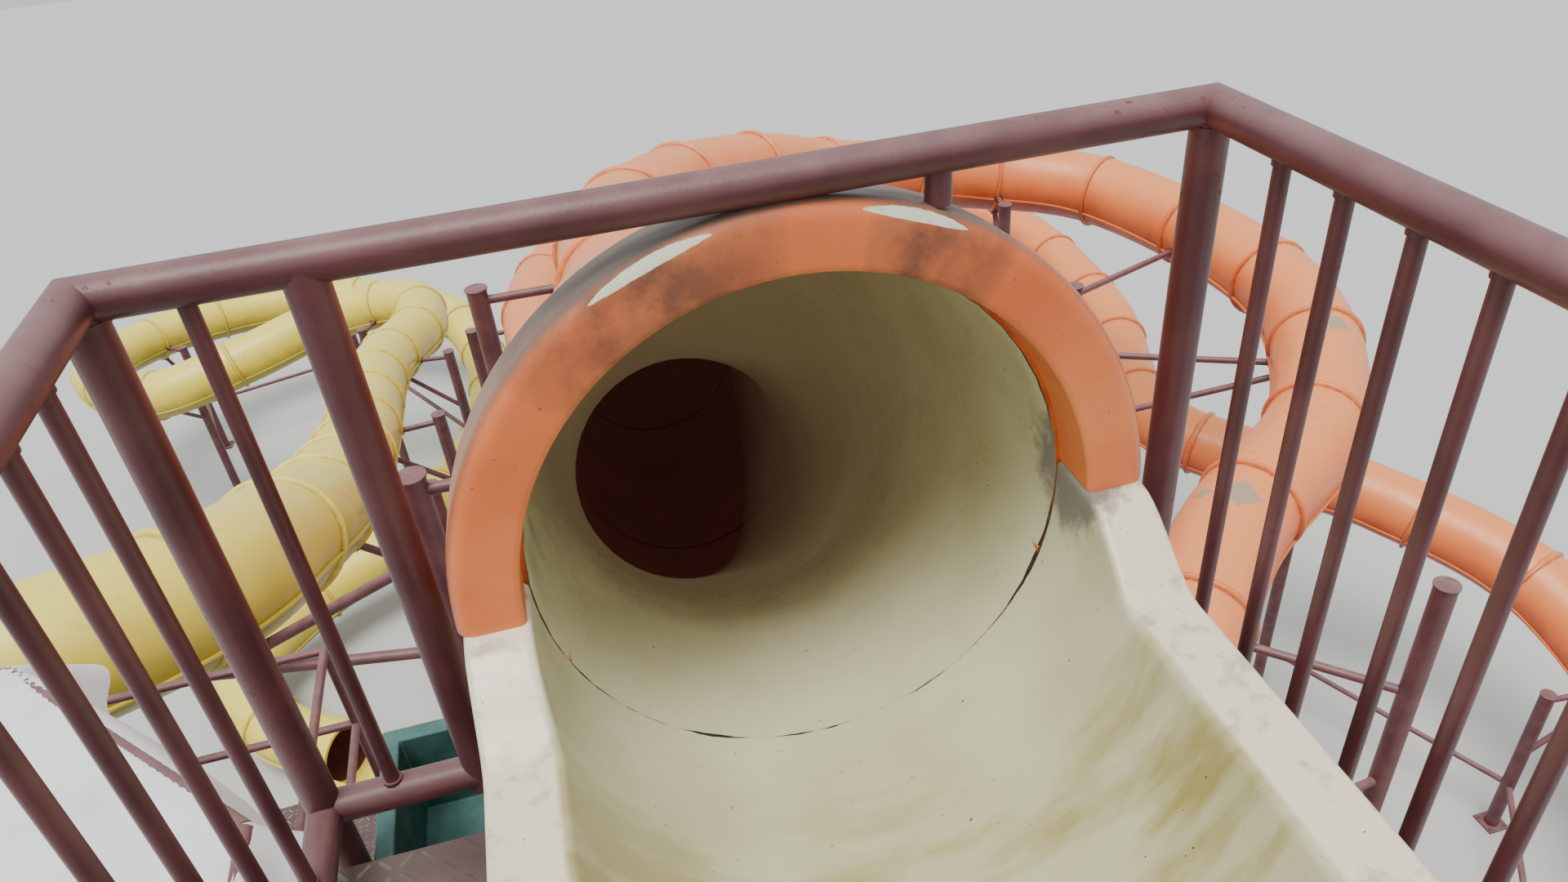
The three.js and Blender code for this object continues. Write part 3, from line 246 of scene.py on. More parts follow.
def chequer_plate():
    made, tree, surface, place = finish_named("painted_chequer_plate", IOR=1.5)
    parts = add(tree, "ShaderNodeSeparateXYZ", [place])
    x, y = parts.outputs["X"], parts.outputs["Y"]
    turns = 2 * math.pi / LOZENGE_PITCH

    def wave(operation, value, pace):
        turned = add(tree, "ShaderNodeMath", [value, pace], operation="MULTIPLY")
        return add(tree, "ShaderNodeMath", [turned], operation=operation)

    steep = add(tree, "ShaderNodeMath", [wave("SINE", x, turns / 2), wave("SINE", y, turns / 2)],
                operation="MULTIPLY")
    field = add(tree, "ShaderNodeMath", [steep, 0], operation="GREATER_THAN")
    diagonals = [add(tree, "ShaderNodeMath", [x, y], operation=name) for name in ("ADD", "SUBTRACT")]
    bars = add(tree, "ShaderNodeMix", [field, *[wave("COSINE", value, turns) for value in diagonals]],
               data_type="RGBA")
    top = add(tree, "ShaderNodeValToRGB", [bars], stops=[(0.45, 0), (0.75, 1)])
    inside = add(tree, "ShaderNodeMath", [steep], operation="ABSOLUTE")
    ends = add(tree, "ShaderNodeValToRGB", [inside], stops=[(0.3, 0), (0.5, 1)])
    raised = add(tree, "ShaderNodeMath", [top, ends], operation="MULTIPLY")
    trodden = cloudy(tree, place, 333, (0.4, 0), (0.65, 1))
    worn = add(tree, "ShaderNodeMath", [raised, trodden], operation="MULTIPLY")
    uneven = cloudy(tree, place, 143, (0.3, 0), (0.7, 1))
    wire(tree, surface, {
        "Base Color": coats(tree, 0x5B4A48, (uneven, 0x78655F), (worn, 0x9C948C)),
        "Roughness": add(tree, "ShaderNodeValToRGB", [worn], stops=[(0, 0.7), (1, 0.4)]),
        "Normal": add(tree, "ShaderNodeBump", {"Height": raised, "Strength": 0.6, "Distance": 0.0015})})
    return made


zinc = dull_zinc()
plate = chequer_plate()
print("deck finish", plate.name)

# %% [markdown]
# ## Gelcoat of the flumes
# The flume is hand-laid glass fibre with a coloured gelcoat outside. What looks up is bleached by the sun
# almost to peach and lightened further as a painted highlight. The sides keep their colour, and the
# underside is darkened as painted shade. The tube is also darker at the foot of each raised ring. The
# tube's own mesh carries a value that is 1 there, so that this darkening follows the rings wherever the
# flume turns. Thin streaks of dirt, about 56 mm wide and half a metre tall, run down below. Squares of
# grey repair tape lie on two of the orange pieces.

# %% Gelcoat
TAPE = [((7.35, 7.04), 0.11), ((4.95, 5.04), 0.13), ((4.72, 5.24), 0.06)]


def taped(tree, place, upper, spot, half):
    """1 on a square patch of repair tape that lies on top of the tube."""
    off = add(tree, "ShaderNodeVectorMath", [place, (*spot, 0)], operation="SUBTRACT")
    parts = add(tree, "ShaderNodeSeparateXYZ", [off])
    sides = [add(tree, "ShaderNodeMath", [parts.outputs[axis]], operation="ABSOLUTE") for axis in "XY"]
    far = add(tree, "ShaderNodeMath", sides, operation="MAXIMUM")
    ragged = add(tree, "ShaderNodeMath", [cloudy(tree, place, 55.6), 0.03, far], operation="MULTIPLY_ADD")
    square = add(tree, "ShaderNodeMath", [ragged, half + 0.015], operation="LESS_THAN")
    on_top = add(tree, "ShaderNodeMath", [upper, 0.5], operation="GREATER_THAN")
    return add(tree, "ShaderNodeMath", [square, on_top], operation="MULTIPLY")


def gelcoat(name, bleached_and_lit, fresh, shaded_underside, dirt_and_ring_foot):
    made, tree, surface, place = finish_named(name, IOR=1.52, Coat_Weight=0.15, Coat_Roughness=0.25)
    # painted light: tops lighter as a painted highlight over real sun bleaching, underside darker as painted
    # shade
    upper = facing_up(tree)
    lowered = add(tree, "ShaderNodeMath", [upper, 0.08], operation="SUBTRACT")
    drift = cloudy(tree, place, 625, (0.3, 0), (0.7, 1))
    up = add(tree, "ShaderNodeMath", [drift, 0.16, lowered], operation="MULTIPLY_ADD")
    sides = add(tree, "ShaderNodeValToRGB", [up], stops=[(0.25, 0), (0.55, 1)])
    top = add(tree, "ShaderNodeValToRGB", [up], stops=[(0.55, 0), (0.92, 1)])
    # darker at the foot of each raised ring, following a value stored in the tube's mesh
    at_ring = add(tree, "ShaderNodeAttribute", attribute_name="ring_foot").outputs["Fac"]
    patchy = cloudy(tree, place, 71.4, (0.35, 0.25), (0.65, 1), detail=4)
    ring_foot_dark = add(tree, "ShaderNodeMath", [at_ring, patchy], operation="MULTIPLY")
    stretched = add(tree, "ShaderNodeMapping", {"Vector": place, "Scale": (18, 18, 2)})
    streaks = cloudy(tree, stretched, 1000, (0.56, 0), (0.75, 0.5), detail=4)
    dirty_areas = cloudy(tree, place, 1111, (0.45, 0), (0.7, 1))
    runs = add(tree, "ShaderNodeMath", [streaks, dirty_areas], operation="MULTIPLY")
    centred = from_mouth(tree, place)
    tape = [(taped(tree, centred, upper, spot, half), 0xB39A80) for spot, half in TAPE]
    waves = cloudy(tree, place, 125, detail=2)
    wire(tree, surface, {
        "Base Color": coats(tree, shaded_underside, (sides, fresh), (top, bleached_and_lit), (ring_foot_dark, dirt_and_ring_foot), (runs, dirt_and_ring_foot),
                            *tape),
        "Roughness": cloudy(tree, place, 167, (0.3, 0.32), (0.7, 0.5)),
        "Normal": add(tree, "ShaderNodeBump", {"Height": waves, "Strength": 0.25, "Distance": 0.004})})
    return made


# colours: top sun-bleached with a painted highlight, sides, underside as painted shade, then dirt and ring
# feet
orange = gelcoat("orange_gelcoat_on_glass_fibre", 0xFF9A58, 0xF07433, 0xA03C16, 0x93401F)
yellow = gelcoat("yellow_gelcoat_on_glass_fibre", 0xFBE768, 0xEBD040, 0x9A8A1C, 0x9C7C1E)
print("gelcoats", orange.name, yellow.name)

# %% [markdown]
# ## Inside the closed tubes
# Inside, the tubes are bare brown resin with a dark line at each joint. Only the first pieces are lined in
# cream. The lining ends crisply on the left and fades out on the right, a soft edge painted as light from
# the mouth. The inside is given a painted glow: it gives off a little of its own colour, though it is no
# lamp.

# %% Bore
LINING_END = Vector((0.03, 2.3, -1.39))
LINING_SLOPE = math.radians(26)
# painted glow: the bores give off a little of their own colour, though they are no lamp
PAINTED_GLOW = 0.16


def bore_finish():
    made, tree, surface, place = finish_named("brown_resin_bore", Roughness=0.3, IOR=1.5,
                                              Emission_Strength=PAINTED_GLOW)
    centred = from_mouth(tree, place)
    cloud = cloudy(tree, centred, 333)
    joint = add(tree, "ShaderNodeAttribute", attribute_name="joint").outputs["Fac"]
    line = add(tree, "ShaderNodeMath", [joint, 0.8], operation="MULTIPLY")
    side = add(tree, "ShaderNodeSeparateXYZ", [centred]).outputs["X"]
    right = add(tree, "ShaderNodeMath", [side, 0], operation="MAXIMUM")
    squared = add(tree, "ShaderNodeMath", [right, 2], operation="POWER")
    # the lining's edge widens to the right: painted light from the mouth
    lit_soft_edge = add(tree, "ShaderNodeMath", [squared, 7, 0.01], operation="MULTIPLY_ADD")
    past = past_plane(tree, centred, LINING_END, LINING_SLOPE)
    unlined = add(tree, "ShaderNodeMath", [past, lit_soft_edge], operation="DIVIDE")
    unlined = add(tree, "ShaderNodeMath", [unlined, 0.5, 0.5], operation="MULTIPLY_ADD")
    resin = coats(tree, 0x4A2622, (cloud, 0x66362E), (line, 0x1E0F0C))
    colour = coats(tree, 0xA3906A, (cloud, 0xB8A680), (unlined, resin))
    # the same colour is also used as a painted glow
    wire(tree, surface, {"Base Color": colour, "Emission Color": colour})
    return made


bore = bore_finish()
print("bore finish", bore.name)

# %% [markdown]
# ## Stained cream gelcoat
# The tub and the first tube's bore are cream gelcoat that water has turned greenish. Yellow tide marks,
# about 380 mm wide and 100 mm deep, lie across the floor where riders sit down. The flat rims are chalky
# and scuffed, and the joint between tub and tube is a broken black line in the sealant. All of it is
# placed from the mouth, so the line lies exactly in the plane where the two pieces meet. Further into the
# tube the cream turns browner as painted shade and gives off a painted glow.

# %% Stained cream gelcoat
SEAM_PLACE = Vector((0, 0.105, -0.012))
SEAM_LEAN = math.radians(6.5)
SEALANT_SPOT, SEALANT_SIZE = (0.455, 0.06, 0.01), 0.13


def near_spot(tree, place, spot, size):
    """1 at a spot and 0 beyond its size, with a ragged edge."""
    far = add(tree, "ShaderNodeVectorMath", [place, spot], operation="DISTANCE")
    inner = add(tree, "ShaderNodeMath", [far, size / 2], operation="SUBTRACT")
    ragged = add(tree, "ShaderNodeMath", [cloudy(tree, place, 33.3, detail=4), size, inner],
                 operation="MULTIPLY_ADD")
    share = add(tree, "ShaderNodeMath", [ragged, size], operation="DIVIDE")
    return add(tree, "ShaderNodeValToRGB", [share], stops=[(0.6, 1), (0.95, 0)])


def seam_crack(tree, place):
    """1 on the broken line where the tub meets the tube."""
    past = past_plane(tree, place, SEAM_PLACE, SEAM_LEAN)
    wobble = add(tree, "ShaderNodeMath", [cloudy(tree, place, 83.3, detail=4), 0.006, past],
                 operation="MULTIPLY_ADD")
    off = add(tree, "ShaderNodeMath", [wobble, 0.003], operation="SUBTRACT")
    off = add(tree, "ShaderNodeMath", [off], operation="ABSOLUTE")
    width = cloudy(tree, place, 143, (0.35, 0.002), (0.7, 0.009))
    return add(tree, "ShaderNodeMath", [off, width], operation="LESS_THAN")


def cream_gelcoat():
    made, tree, surface, place = finish_named("cream_gelcoat_stained", IOR=1.52, Coat_Weight=0.2,
                                              Coat_Roughness=0.15, Emission_Strength=PAINTED_GLOW)
    place = from_mouth(tree, place)
    parts = add(tree, "ShaderNodeSeparateXYZ", [place])
    uneven = cloudy(tree, place, 400, (0.35, 0), (0.65, 1))
    long = add(tree, "ShaderNodeMapping", {"Vector": place, "Scale": (1.2, 4.5, 1)})
    tide = cloudy(tree, long, 455, (0.47, 0), (0.62, 1), detail=5)
    behind = add(tree, "ShaderNodeMath", [parts.outputs["Y"], -1.2, 0.1], operation="MULTIPLY_ADD")
    seat = add(tree, "ShaderNodeValToRGB", [behind], stops=[(0.1, 0), (0.6, 0.85)])
    stain = add(tree, "ShaderNodeMath", [seat, tide], operation="MULTIPLY")
    side = add(tree, "ShaderNodeMath", [parts.outputs["X"]], operation="ABSOLUTE")
    rim = add(tree, "ShaderNodeValToRGB", [side], stops=[(0.455, 0), (0.462, 1)])
    scuffs = cloudy(tree, place, 45.5, (0.55, 0), (0.68, 0.6), detail=6)
    chalky = coats(tree, 0xFFF4D6, (scuffs, 0xB2A98C))
    specks = cloudy(tree, place, 10.5, (0.74, 0), (0.76, 0.9), detail=2)
    crack = seam_crack(tree, place)
    sealant = near_spot(tree, place, SEALANT_SPOT, SEALANT_SIZE)
    # painted shade: the cream turns browner further into the tube, and the same share sets a painted glow
    inward = add(tree, "ShaderNodeValToRGB", [parts.outputs["Y"]], stops=[(0.12, 0), (0.9, 1)])
    shade_deeper_in = add(tree, "ShaderNodeMath", [inward, 0.8], operation="MULTIPLY")
    colour = coats(tree, 0xCDCBA0, (uneven, 0xE2E0BC), (stain, 0xA8964A), (rim, chalky), (specks, 0x23211C),
                   (crack, 0x3A352C), (sealant, 0x8D8A80), (shade_deeper_in, 0xA08C64))
    height = add(tree, "ShaderNodeMath", [cloudy(tree, place, 167), crack], operation="SUBTRACT")
    wire(tree, surface, {
        "Base Color": colour, "Emission Color": coats(tree, 0x000000, (inward, colour)),
        "Roughness": cloudy(tree, place, 111, (0.3, 0.18), (0.7, 0.42)),
        "Normal": add(tree, "ShaderNodeBump", {"Height": height, "Strength": 0.3, "Distance": 0.004})})
    return made


cream = cream_gelcoat()
print("tub finish", cream.name)

# %% [markdown]
# ## Gelcoat of the hood
# The hood is the most weathered piece: orange bleached to terracotta, black-grey mould along its crown
# and down its shoulders, a grey outer edge, and two long chips that show the cream laminate. Angles
# round the mouth place the chips and the mould, measured from the rider's right.

# %% Hood finish
CHIPS = [(1.07, 1.365), (1.75, 2.1)]
CHIP_RADIUS, CHIP_THICK = 0.556, 0.017
MOULD = [(0.9, 1.35), (1.56, 2.4)]
GREY_EDGE = (0.2, math.pi + 0.1)


def arch(tree, angle, low, high):
    """Rises from 0 at one angle to 1 halfway and falls to 0 at the other."""
    past = add(tree, "ShaderNodeMath", [angle, low], operation="SUBTRACT")
    share = add(tree, "ShaderNodeMath", [past, high - low], operation="DIVIDE", use_clamp=True)
    turned = add(tree, "ShaderNodeMath", [share, math.pi], operation="MULTIPLY")
    return add(tree, "ShaderNodeMath", [turned], operation="SINE")


def blunt(tree, angle, low, high):
    """The same with steeper ends."""
    return add(tree, "ShaderNodeMath", [arch(tree, angle, low, high), 0.6], operation="POWER")


def chipped(tree, place, radius, angle, low, high):
    """1 where the gelcoat has flaked off in a long sliver."""
    ragged = add(tree, "ShaderNodeMath", [cloudy(tree, place, 16.7), 0.004, radius], operation="MULTIPLY_ADD")
    off = add(tree, "ShaderNodeMath", [ragged, CHIP_RADIUS], operation="SUBTRACT")
    off = add(tree, "ShaderNodeMath", [off], operation="ABSOLUTE")
    half = add(tree, "ShaderNodeMath", [blunt(tree, angle, low, high), CHIP_THICK / 2], operation="MULTIPLY")
    return add(tree, "ShaderNodeMath", [off, half], operation="LESS_THAN")


def hood_gelcoat():
    made, tree, surface, place = finish_named("terracotta_gelcoat_mouldy", IOR=1.52, Coat_Weight=0.1,
                                              Coat_Roughness=0.3)
    place = from_mouth(tree, place)
    across = add(tree, "ShaderNodeSeparateXYZ", [place]).outputs["X"]
    upward = (0, math.sin(SEAM_LEAN), math.cos(SEAM_LEAN))
    along = add(tree, "ShaderNodeVectorMath", [place, upward], operation="DOT_PRODUCT")
    flat = add(tree, "ShaderNodeCombineXYZ", [across, along])
    radius = add(tree, "ShaderNodeVectorMath", [flat], operation="LENGTH")
    angle = add(tree, "ShaderNodeMath", [along, across], operation="ARCTAN2")
    faded = cloudy(tree, place, 250, (0.3, 0), (0.7, 1))
    areas = add(tree, "ShaderNodeMath", [blunt(tree, angle, *ends) for ends in MOULD], operation="ADD")
    cloud = cloudy(tree, place, 143, (0.32, 0.2), (0.55, 1), detail=6, roughness=0.65)
    mould = add(tree, "ShaderNodeMath", [areas, cloud], operation="MULTIPLY")
    dark = add(tree, "ShaderNodeMath", [mould, 0.8], operation="MULTIPLY")
    frayed = add(tree, "ShaderNodeMath", [cloudy(tree, place, 50, detail=4), 0.008, radius],
                 operation="MULTIPLY_ADD")
    outer = add(tree, "ShaderNodeMath", [frayed, 25, -13.55], operation="MULTIPLY_ADD")
    outer = add(tree, "ShaderNodeValToRGB", [outer], stops=[(0.5, 0), (0.75, 1)])
    edge = add(tree, "ShaderNodeMath", [outer, arch(tree, angle, *GREY_EDGE)], operation="MULTIPLY")
    chips = [(chipped(tree, place, radius, angle, *ends), 0xE4E2CC) for ends in CHIPS]
    specks = cloudy(tree, place, 12.5, (0.72, 0), (0.75, 0.6), detail=2)
    waves = cloudy(tree, place, 100)
    wire(tree, surface, {
        "Base Color": coats(tree, 0xDE6C38, (faded, 0xF88C50), (dark, 0x3F3833), (edge, 0x776C62), *chips,
                            (specks, 0x6A3A28)),
        "Roughness": add(tree, "ShaderNodeValToRGB", [mould], stops=[(0, 0.38), (1, 0.75)]),
        "Normal": add(tree, "ShaderNodeBump", {"Height": waves, "Strength": 0.2, "Distance": 0.003})})
    return made


hood_finish = hood_gelcoat()
print("hood finish", hood_finish.name)

# %% [markdown]
# ## Building meshes
# Three kinds of start are enough for the whole tower. A set of loose edges becomes pipes, a set of
# points becomes repeated small parts, and a row of sections is skinned into a shell. Geometry Nodes do
# the first two: the tree runs once, its result is kept as a plain mesh, and the modifier goes.

# %% Start meshes


def moved(point):
    """A place counted from the mouth's foot on the ground, in the model's frame."""
    return Vector(point) + ORIGIN


def edge_mesh(runs):
    """Loose edges: each run is a list of points along one pipe, each with the pipe's radius there."""
    points, edges, reach = [], [], []
    for run in runs:
        for i, (place, radius) in enumerate(run):
            if i:
                edges.append((len(points) - 1, len(points)))
            points.append(moved(place))
            reach.append(radius)
    mesh = bpy.data.meshes.new("start")
    mesh.from_pydata(points, edges, [])
    mesh.attributes.new("reach", "FLOAT", "POINT").data.foreach_set("value", reach)
    return mesh


def point_mesh(spots):
    """Loose points, each with the direction that its part stands in."""
    mesh = bpy.data.meshes.new("start")
    mesh.from_pydata([moved(place) for place, aim in spots], [], [])
    aims = [value for place, aim in spots for value in aim]
    mesh.attributes.new("aim", "FLOAT_VECTOR", "POINT").data.foreach_set("vector", aims)
    return mesh


# %% Trees and the meshes they make


def new_tree(name, **sizes):
    """A Geometry Nodes tree with named inputs: a mesh, then sizes with their usual values."""
    tree = bpy.data.node_groups.new(name, "GeometryNodeTree")
    tree.interface.new_socket("Geometry", in_out="INPUT", socket_type="NodeSocketGeometry")
    tree.interface.new_socket("Geometry", in_out="OUTPUT", socket_type="NodeSocketGeometry")
    for size, value in sizes.items():
        kind = "NodeSocketInt" if isinstance(value, int) else "NodeSocketFloat"
        socket = tree.interface.new_socket(size, in_out="INPUT", socket_type=kind)
        socket.default_value = value
    tree.interface.new_socket("Finish", in_out="INPUT", socket_type="NodeSocketMaterial")
    return tree, add(tree, "NodeGroupInput")


def end_tree(tree, geometry, finish):
    """The tree's last steps: instances made real, and their material set."""
    real = add(tree, "GeometryNodeRealizeInstances", {0: geometry})
    coated = add(tree, "GeometryNodeSetMaterial", {"Geometry": real.outputs[0], "Material": finish})
    add(tree, "NodeGroupOutput", {0: coated.outputs[0]})


def grown(start, tree, finish, **sizes):
    """The plain mesh that a tree makes of a start mesh."""
    holder = bpy.data.objects.new("grown", start)
    bpy.context.scene.collection.objects.link(holder)
    modifier = holder.modifiers.new("grow", "NODES")
    modifier.node_group = tree
    settings = {"Finish": finish, **sizes}
    for item in tree.interface.items_tree:
        if item.in_out == "INPUT" and item.name in settings:
            modifier[item.identifier] = settings[item.name]
    ready = holder.evaluated_get(bpy.context.evaluated_depsgraph_get())
    mesh = bpy.data.meshes.new_from_object(ready)
    holder.modifiers.remove(modifier)
    bpy.data.objects.remove(holder)
    return mesh


# %% Pieces
MADE = []


def piece(name, meshes, slot, *nodes, sharp=40):
    """One object made of several meshes, which stands for CAD nodes and moves with the tower."""
    finishes = []
    joined = bmesh.new()
    for mesh in meshes:
        shift = {}
        for i, finish in enumerate(mesh.materials):
            if finish not in finishes:
                finishes.append(finish)
            shift[i] = finishes.index(finish)
        first = len(joined.faces)
        joined.from_mesh(mesh)
        joined.faces.ensure_lookup_table()
        for face in joined.faces[first:]:
            face.material_index = shift.get(face.material_index, 0)
            face.smooth = True
    whole = bpy.data.meshes.new(name)
    joined.to_mesh(whole)
    joined.free()
    for finish in finishes:
        whole.materials.append(finish)
    whole.set_sharp_from_angle(angle=math.radians(sharp))
    made = bpy.data.objects.new(name, whole)
    bpy.context.scene.collection.objects.link(made)
    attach(made, "root")
    if nodes:
        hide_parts(*nodes)
    MADE.append(made)
    return made


# %% [markdown]
# ### Pipes from loose edges
# Every column, brace, arm and baluster is a straight round pipe. Mesh to Curve turns each edge into a
# path, the stored radius scales a circle, and Curve to Mesh sweeps it with closed ends. A skin modifier
# could do this too, but its corners swell, and a steel fixer's pipes meet with plain cuts.

# %% Pipe tree


def pipe_tree():
    tree, given = new_tree("pipes along edges", Sides=12)
    path = add(tree, "GeometryNodeMeshToCurve", {0: given.outputs["Geometry"]})
    reach = add(tree, "GeometryNodeInputNamedAttribute", {"Name": "reach"}, data_type="FLOAT")
    circle = add(tree, "GeometryNodeCurvePrimitiveCircle", {"Resolution": given.outputs["Sides"],
                                                            "Radius": 1.0})
    swept = add(tree, "GeometryNodeCurveToMesh", {"Curve": path, "Profile Curve": circle, "Fill Caps": True,
                                                  "Scale": reach.outputs["Attribute"]})
    end_tree(tree, swept.outputs[0], given.outputs["Finish"])
    return tree


PIPES = pipe_tree()


def pipes(runs, finish=steel, sides=14):
    return grown(edge_mesh(runs), PIPES, finish, Sides=sides)


def bar(a, b, diameter):
    """A straight pipe from one place to another."""
    return [(a, diameter / 2), (b, diameter / 2)]


print("pipe tree", len(PIPES.nodes), "nodes")

# %% [markdown]
# ### Small parts on points
# Bolt heads, nuts and anchor rods repeat by the hundred. A tree puts one short prism on each point and
# turns it the way that the point's stored direction says. Six sides make a hexagon head.

# %% Tree of small parts


def stud_tree():
    tree, given = new_tree("a stud on each point", Sides=6, Radius=0.012, Height=0.01)
    stud = add(tree, "GeometryNodeMeshCylinder", {"Vertices": given.outputs["Sides"],
                                                  "Radius": given.outputs["Radius"],
                                                  "Depth": given.outputs["Height"]})
    aim = add(tree, "GeometryNodeInputNamedAttribute", {"Name": "aim"}, data_type="FLOAT_VECTOR")
    turned = add(tree, "FunctionNodeAlignRotationToVector", {"Vector": aim.outputs["Attribute"]}, axis="Z")
    placed = add(tree, "GeometryNodeInstanceOnPoints", {"Points": given.outputs["Geometry"],
                                                        "Instance": stud.outputs["Mesh"],
                                                        "Rotation": turned.outputs[0]})
    end_tree(tree, placed.outputs[0], given.outputs["Finish"])
    return tree


STUDS = stud_tree()


def studs(spots, radius=0.012, height=0.012, sides=6, finish=zinc):
    return grown(point_mesh(spots), STUDS, finish, Radius=radius, Height=height, Sides=sides)


print("stud tree", len(STUDS.nodes), "nodes")

# %% [markdown]
# ### Sections and boxes
# Open channels, the hood and rolled beams have a section that is drawn once and pushed along a line. The
# skin between two sections is a strip of quads, and the ends are closed with one face each.

# %% Skins


def skin(sections, finish, paired=False):
    """A closed shell through sections of equal count. A paired section is a wall: its second half runs
    back along the first, and its ends are closed by a strip between the two."""
    count = len(sections[0])
    built = bmesh.new()
    rows = [[built.verts.new(moved(point)) for point in section] for section in sections]
    for row, after in zip(rows, rows[1:]):
        for i in range(count):
            j = (i + 1) % count
            built.faces.new((row[i], row[j], after[j], after[i]))
    for row in (rows[0], rows[-1]):
        if paired:
            for i in range(count // 2 - 1):
                built.faces.new((row[i], row[i + 1], row[-2 - i], row[-1 - i]))
        else:
            built.faces.new(row)
    bmesh.ops.recalc_face_normals(built, faces=built.faces)
    mesh = bpy.data.meshes.new("skin")
    built.to_mesh(mesh)
    built.free()
    mesh.materials.append(finish)
    return mesh


def block(low, high, finish=steel):
    """A rectangular bar between two corners."""
    (x0, y0, z0), (x1, y1, z1) = low, high
    outline = [(x0, z0), (x1, z0), (x1, z1), (x0, z1)]
    return skin([[(x, y, z) for x, z in outline] for y in (y0, y1)], finish)


def bevelled(made, width, segments=2, limit=35):
    """Rounds the sharp edges of a finished piece."""
    cut = made.modifiers.new("edges", "BEVEL")
    cut.width = width
    cut.segments = segments
    cut.limit_method = "ANGLE"
    cut.angle_limit = math.radians(limit)
    cut.harden_normals = False
    return made


# %% [markdown]
# ## The flumes' routes
# Each flume's axis is one smooth line through waypoints, the same as in the solids. A centripetal
# Catmull-Rom curve passes through every waypoint without overshooting. It is sampled finely once, and
# then any distance along it gives a place and three directions: ahead, to the rider's right, and up.

# %% Routes
ORANGE_ROUTE = [
    (0, 0.105, -0.012), (0, 0.505, -0.058), (0, 1.1, -0.42), (0.01, 1.7, -0.99), (0.03, 2.35, -1.42),
    (0.05, 3.2, -1.67), (0.09, 4.6, -1.93), (0.13, 6.2, -2.27), (0.28, 8.1, -2.68), (1.15, 9.9, -3.08),
    (2.3, 11.05, -3.5), (3.37, 11.85, -4), (5.65, 12.59, -4.64), (7.11, 11.77, -4.81),
    (7.81, 8.46, -5.01), (6.64, 6.23, -5.13), (4.92, 5.06, -5.24), (3.28, 3.65, -5.48), (1.83, 3.53, -5.57),
    (0.55, 4.45, -5.65), (-0.2, 7.2, -5.8), (-0.68, 11, -5.95), (-0.7, 14.6, -6.15), (0.6, 17.6, -6.6),
    (3.43, 19.21, -7.13), (7.16, 19.1, -7.6), (8.6, 17.53, -7.92), (8.8, 14.1, -8.2), (8.1, 10.92, -8.45),
    (10.1, 8.48, -8.72), (11.1, 6.6, -9.1), (10.8, 4, -9.95), (9, 2.2, -10.75), (6.4, 1.7, -11.2),
    (4.2, 1.7, -11.4)]
YELLOW_ROUTE = [
    (-4.3, 3.9, -2.88), (-3.5, 4, -2.92), (-2.9, 4.6, -3.15), (-2.75, 5.8, -3.7), (-2.8, 7.2, -4.4),
    (-3.1, 10.5, -5.8), (-3.4, 15.3, -7.2), (-3, 17.9, -7.8), (-3.4, 19.6, -8.1), (-4.9, 20.1, -8.35),
    (-6.5, 19.5, -8.6), (-8.3, 19.2, -8.9), (-10, 21.3, -9.15), (-8.9, 23.3, -9.4), (-5.6, 24.2, -9.7),
    (-3, 22.8, -10.05), (-2.3, 18.4, -10.4), (-3.9, 15.6, -10.75), (-5.6, 14.5, -11), (-6.6, 13.2, -11.2),
    (-6, 12, -11.36), (-4.9, 11.2, -11.4)]
RING_PITCH = 1.52


class Route:
    """A smooth line through waypoints, asked by the distance along it."""

    def __init__(self, waypoints, steps=40):
        way = [Vector((x, y, MOUTH_Z + z)) for x, y, z in waypoints]
        way = [2 * way[0] - way[1], *way, 2 * way[-1] - way[-2]]
        self.points = []
        for p0, p1, p2, p3 in zip(way, way[1:], way[2:], way[3:]):
            t1 = math.sqrt((p1 - p0).length)
            t2 = t1 + math.sqrt((p2 - p1).length)
            t3 = t2 + math.sqrt((p3 - p2).length)
            for i in range(steps):
                t = t1 + (t2 - t1) * i / steps
                a1 = p0.lerp(p1, t / t1)
                a2 = p1.lerp(p2, (t - t1) / (t2 - t1))
                a3 = p2.lerp(p3, (t - t2) / (t3 - t2))
                b1 = a1.lerp(a2, t / t2)
                b2 = a2.lerp(a3, (t - t1) / (t3 - t1))
                self.points.append(b1.lerp(b2, (t - t1) / (t2 - t1)))
        self.points.append(way[-2])
        self.marks = [0.0]
        for a, b in zip(self.points, self.points[1:]):
            self.marks.append(self.marks[-1] + (b - a).length)
        self.length = self.marks[-1]
        self.rings = round(self.length / RING_PITCH)
        self.pitch = self.length / self.rings

    def place(self, s):
        s = min(max(s, 0), self.length)
        low, high = 0, len(self.marks) - 1
        while high - low > 1:
            middle = (low + high) // 2
            low, high = (middle, high) if self.marks[middle] <= s else (low, middle)
        share = (s - self.marks[low]) / (self.marks[high] - self.marks[low])
        return self.points[low].lerp(self.points[high], share)

    def axes(self, s):
        """Ahead, right and up at a distance."""
        ahead = (self.place(s + 0.02) - self.place(s - 0.02)).normalized()
        right = ahead.cross(Vector((0, 0, 1))).normalized()
        return ahead, right, right.cross(ahead)

    def ring(self, k):
        return self.place(k * self.pitch)


ROUTES = {"orange": Route(ORANGE_ROUTE), "yellow": Route(YELLOW_ROUTE)}
for name, route in ROUTES.items():
    print(name, "flume", round(route.length, 1), "m,", route.rings, "rings")

# %% [markdown]
# ## Flume tubes
# A flume is bolted together from pieces about a metre and a half long. Each ends in a flange, and each
# is laid up in two halves that meet in a ledge along both sides. One Geometry Nodes tree sweeps all of
# this along a route: the outside follows a stored radius that rises at each ring, the bore is swept a
# second time and turned inside out, and a thin rectangle swept beside the axis makes each ledge.

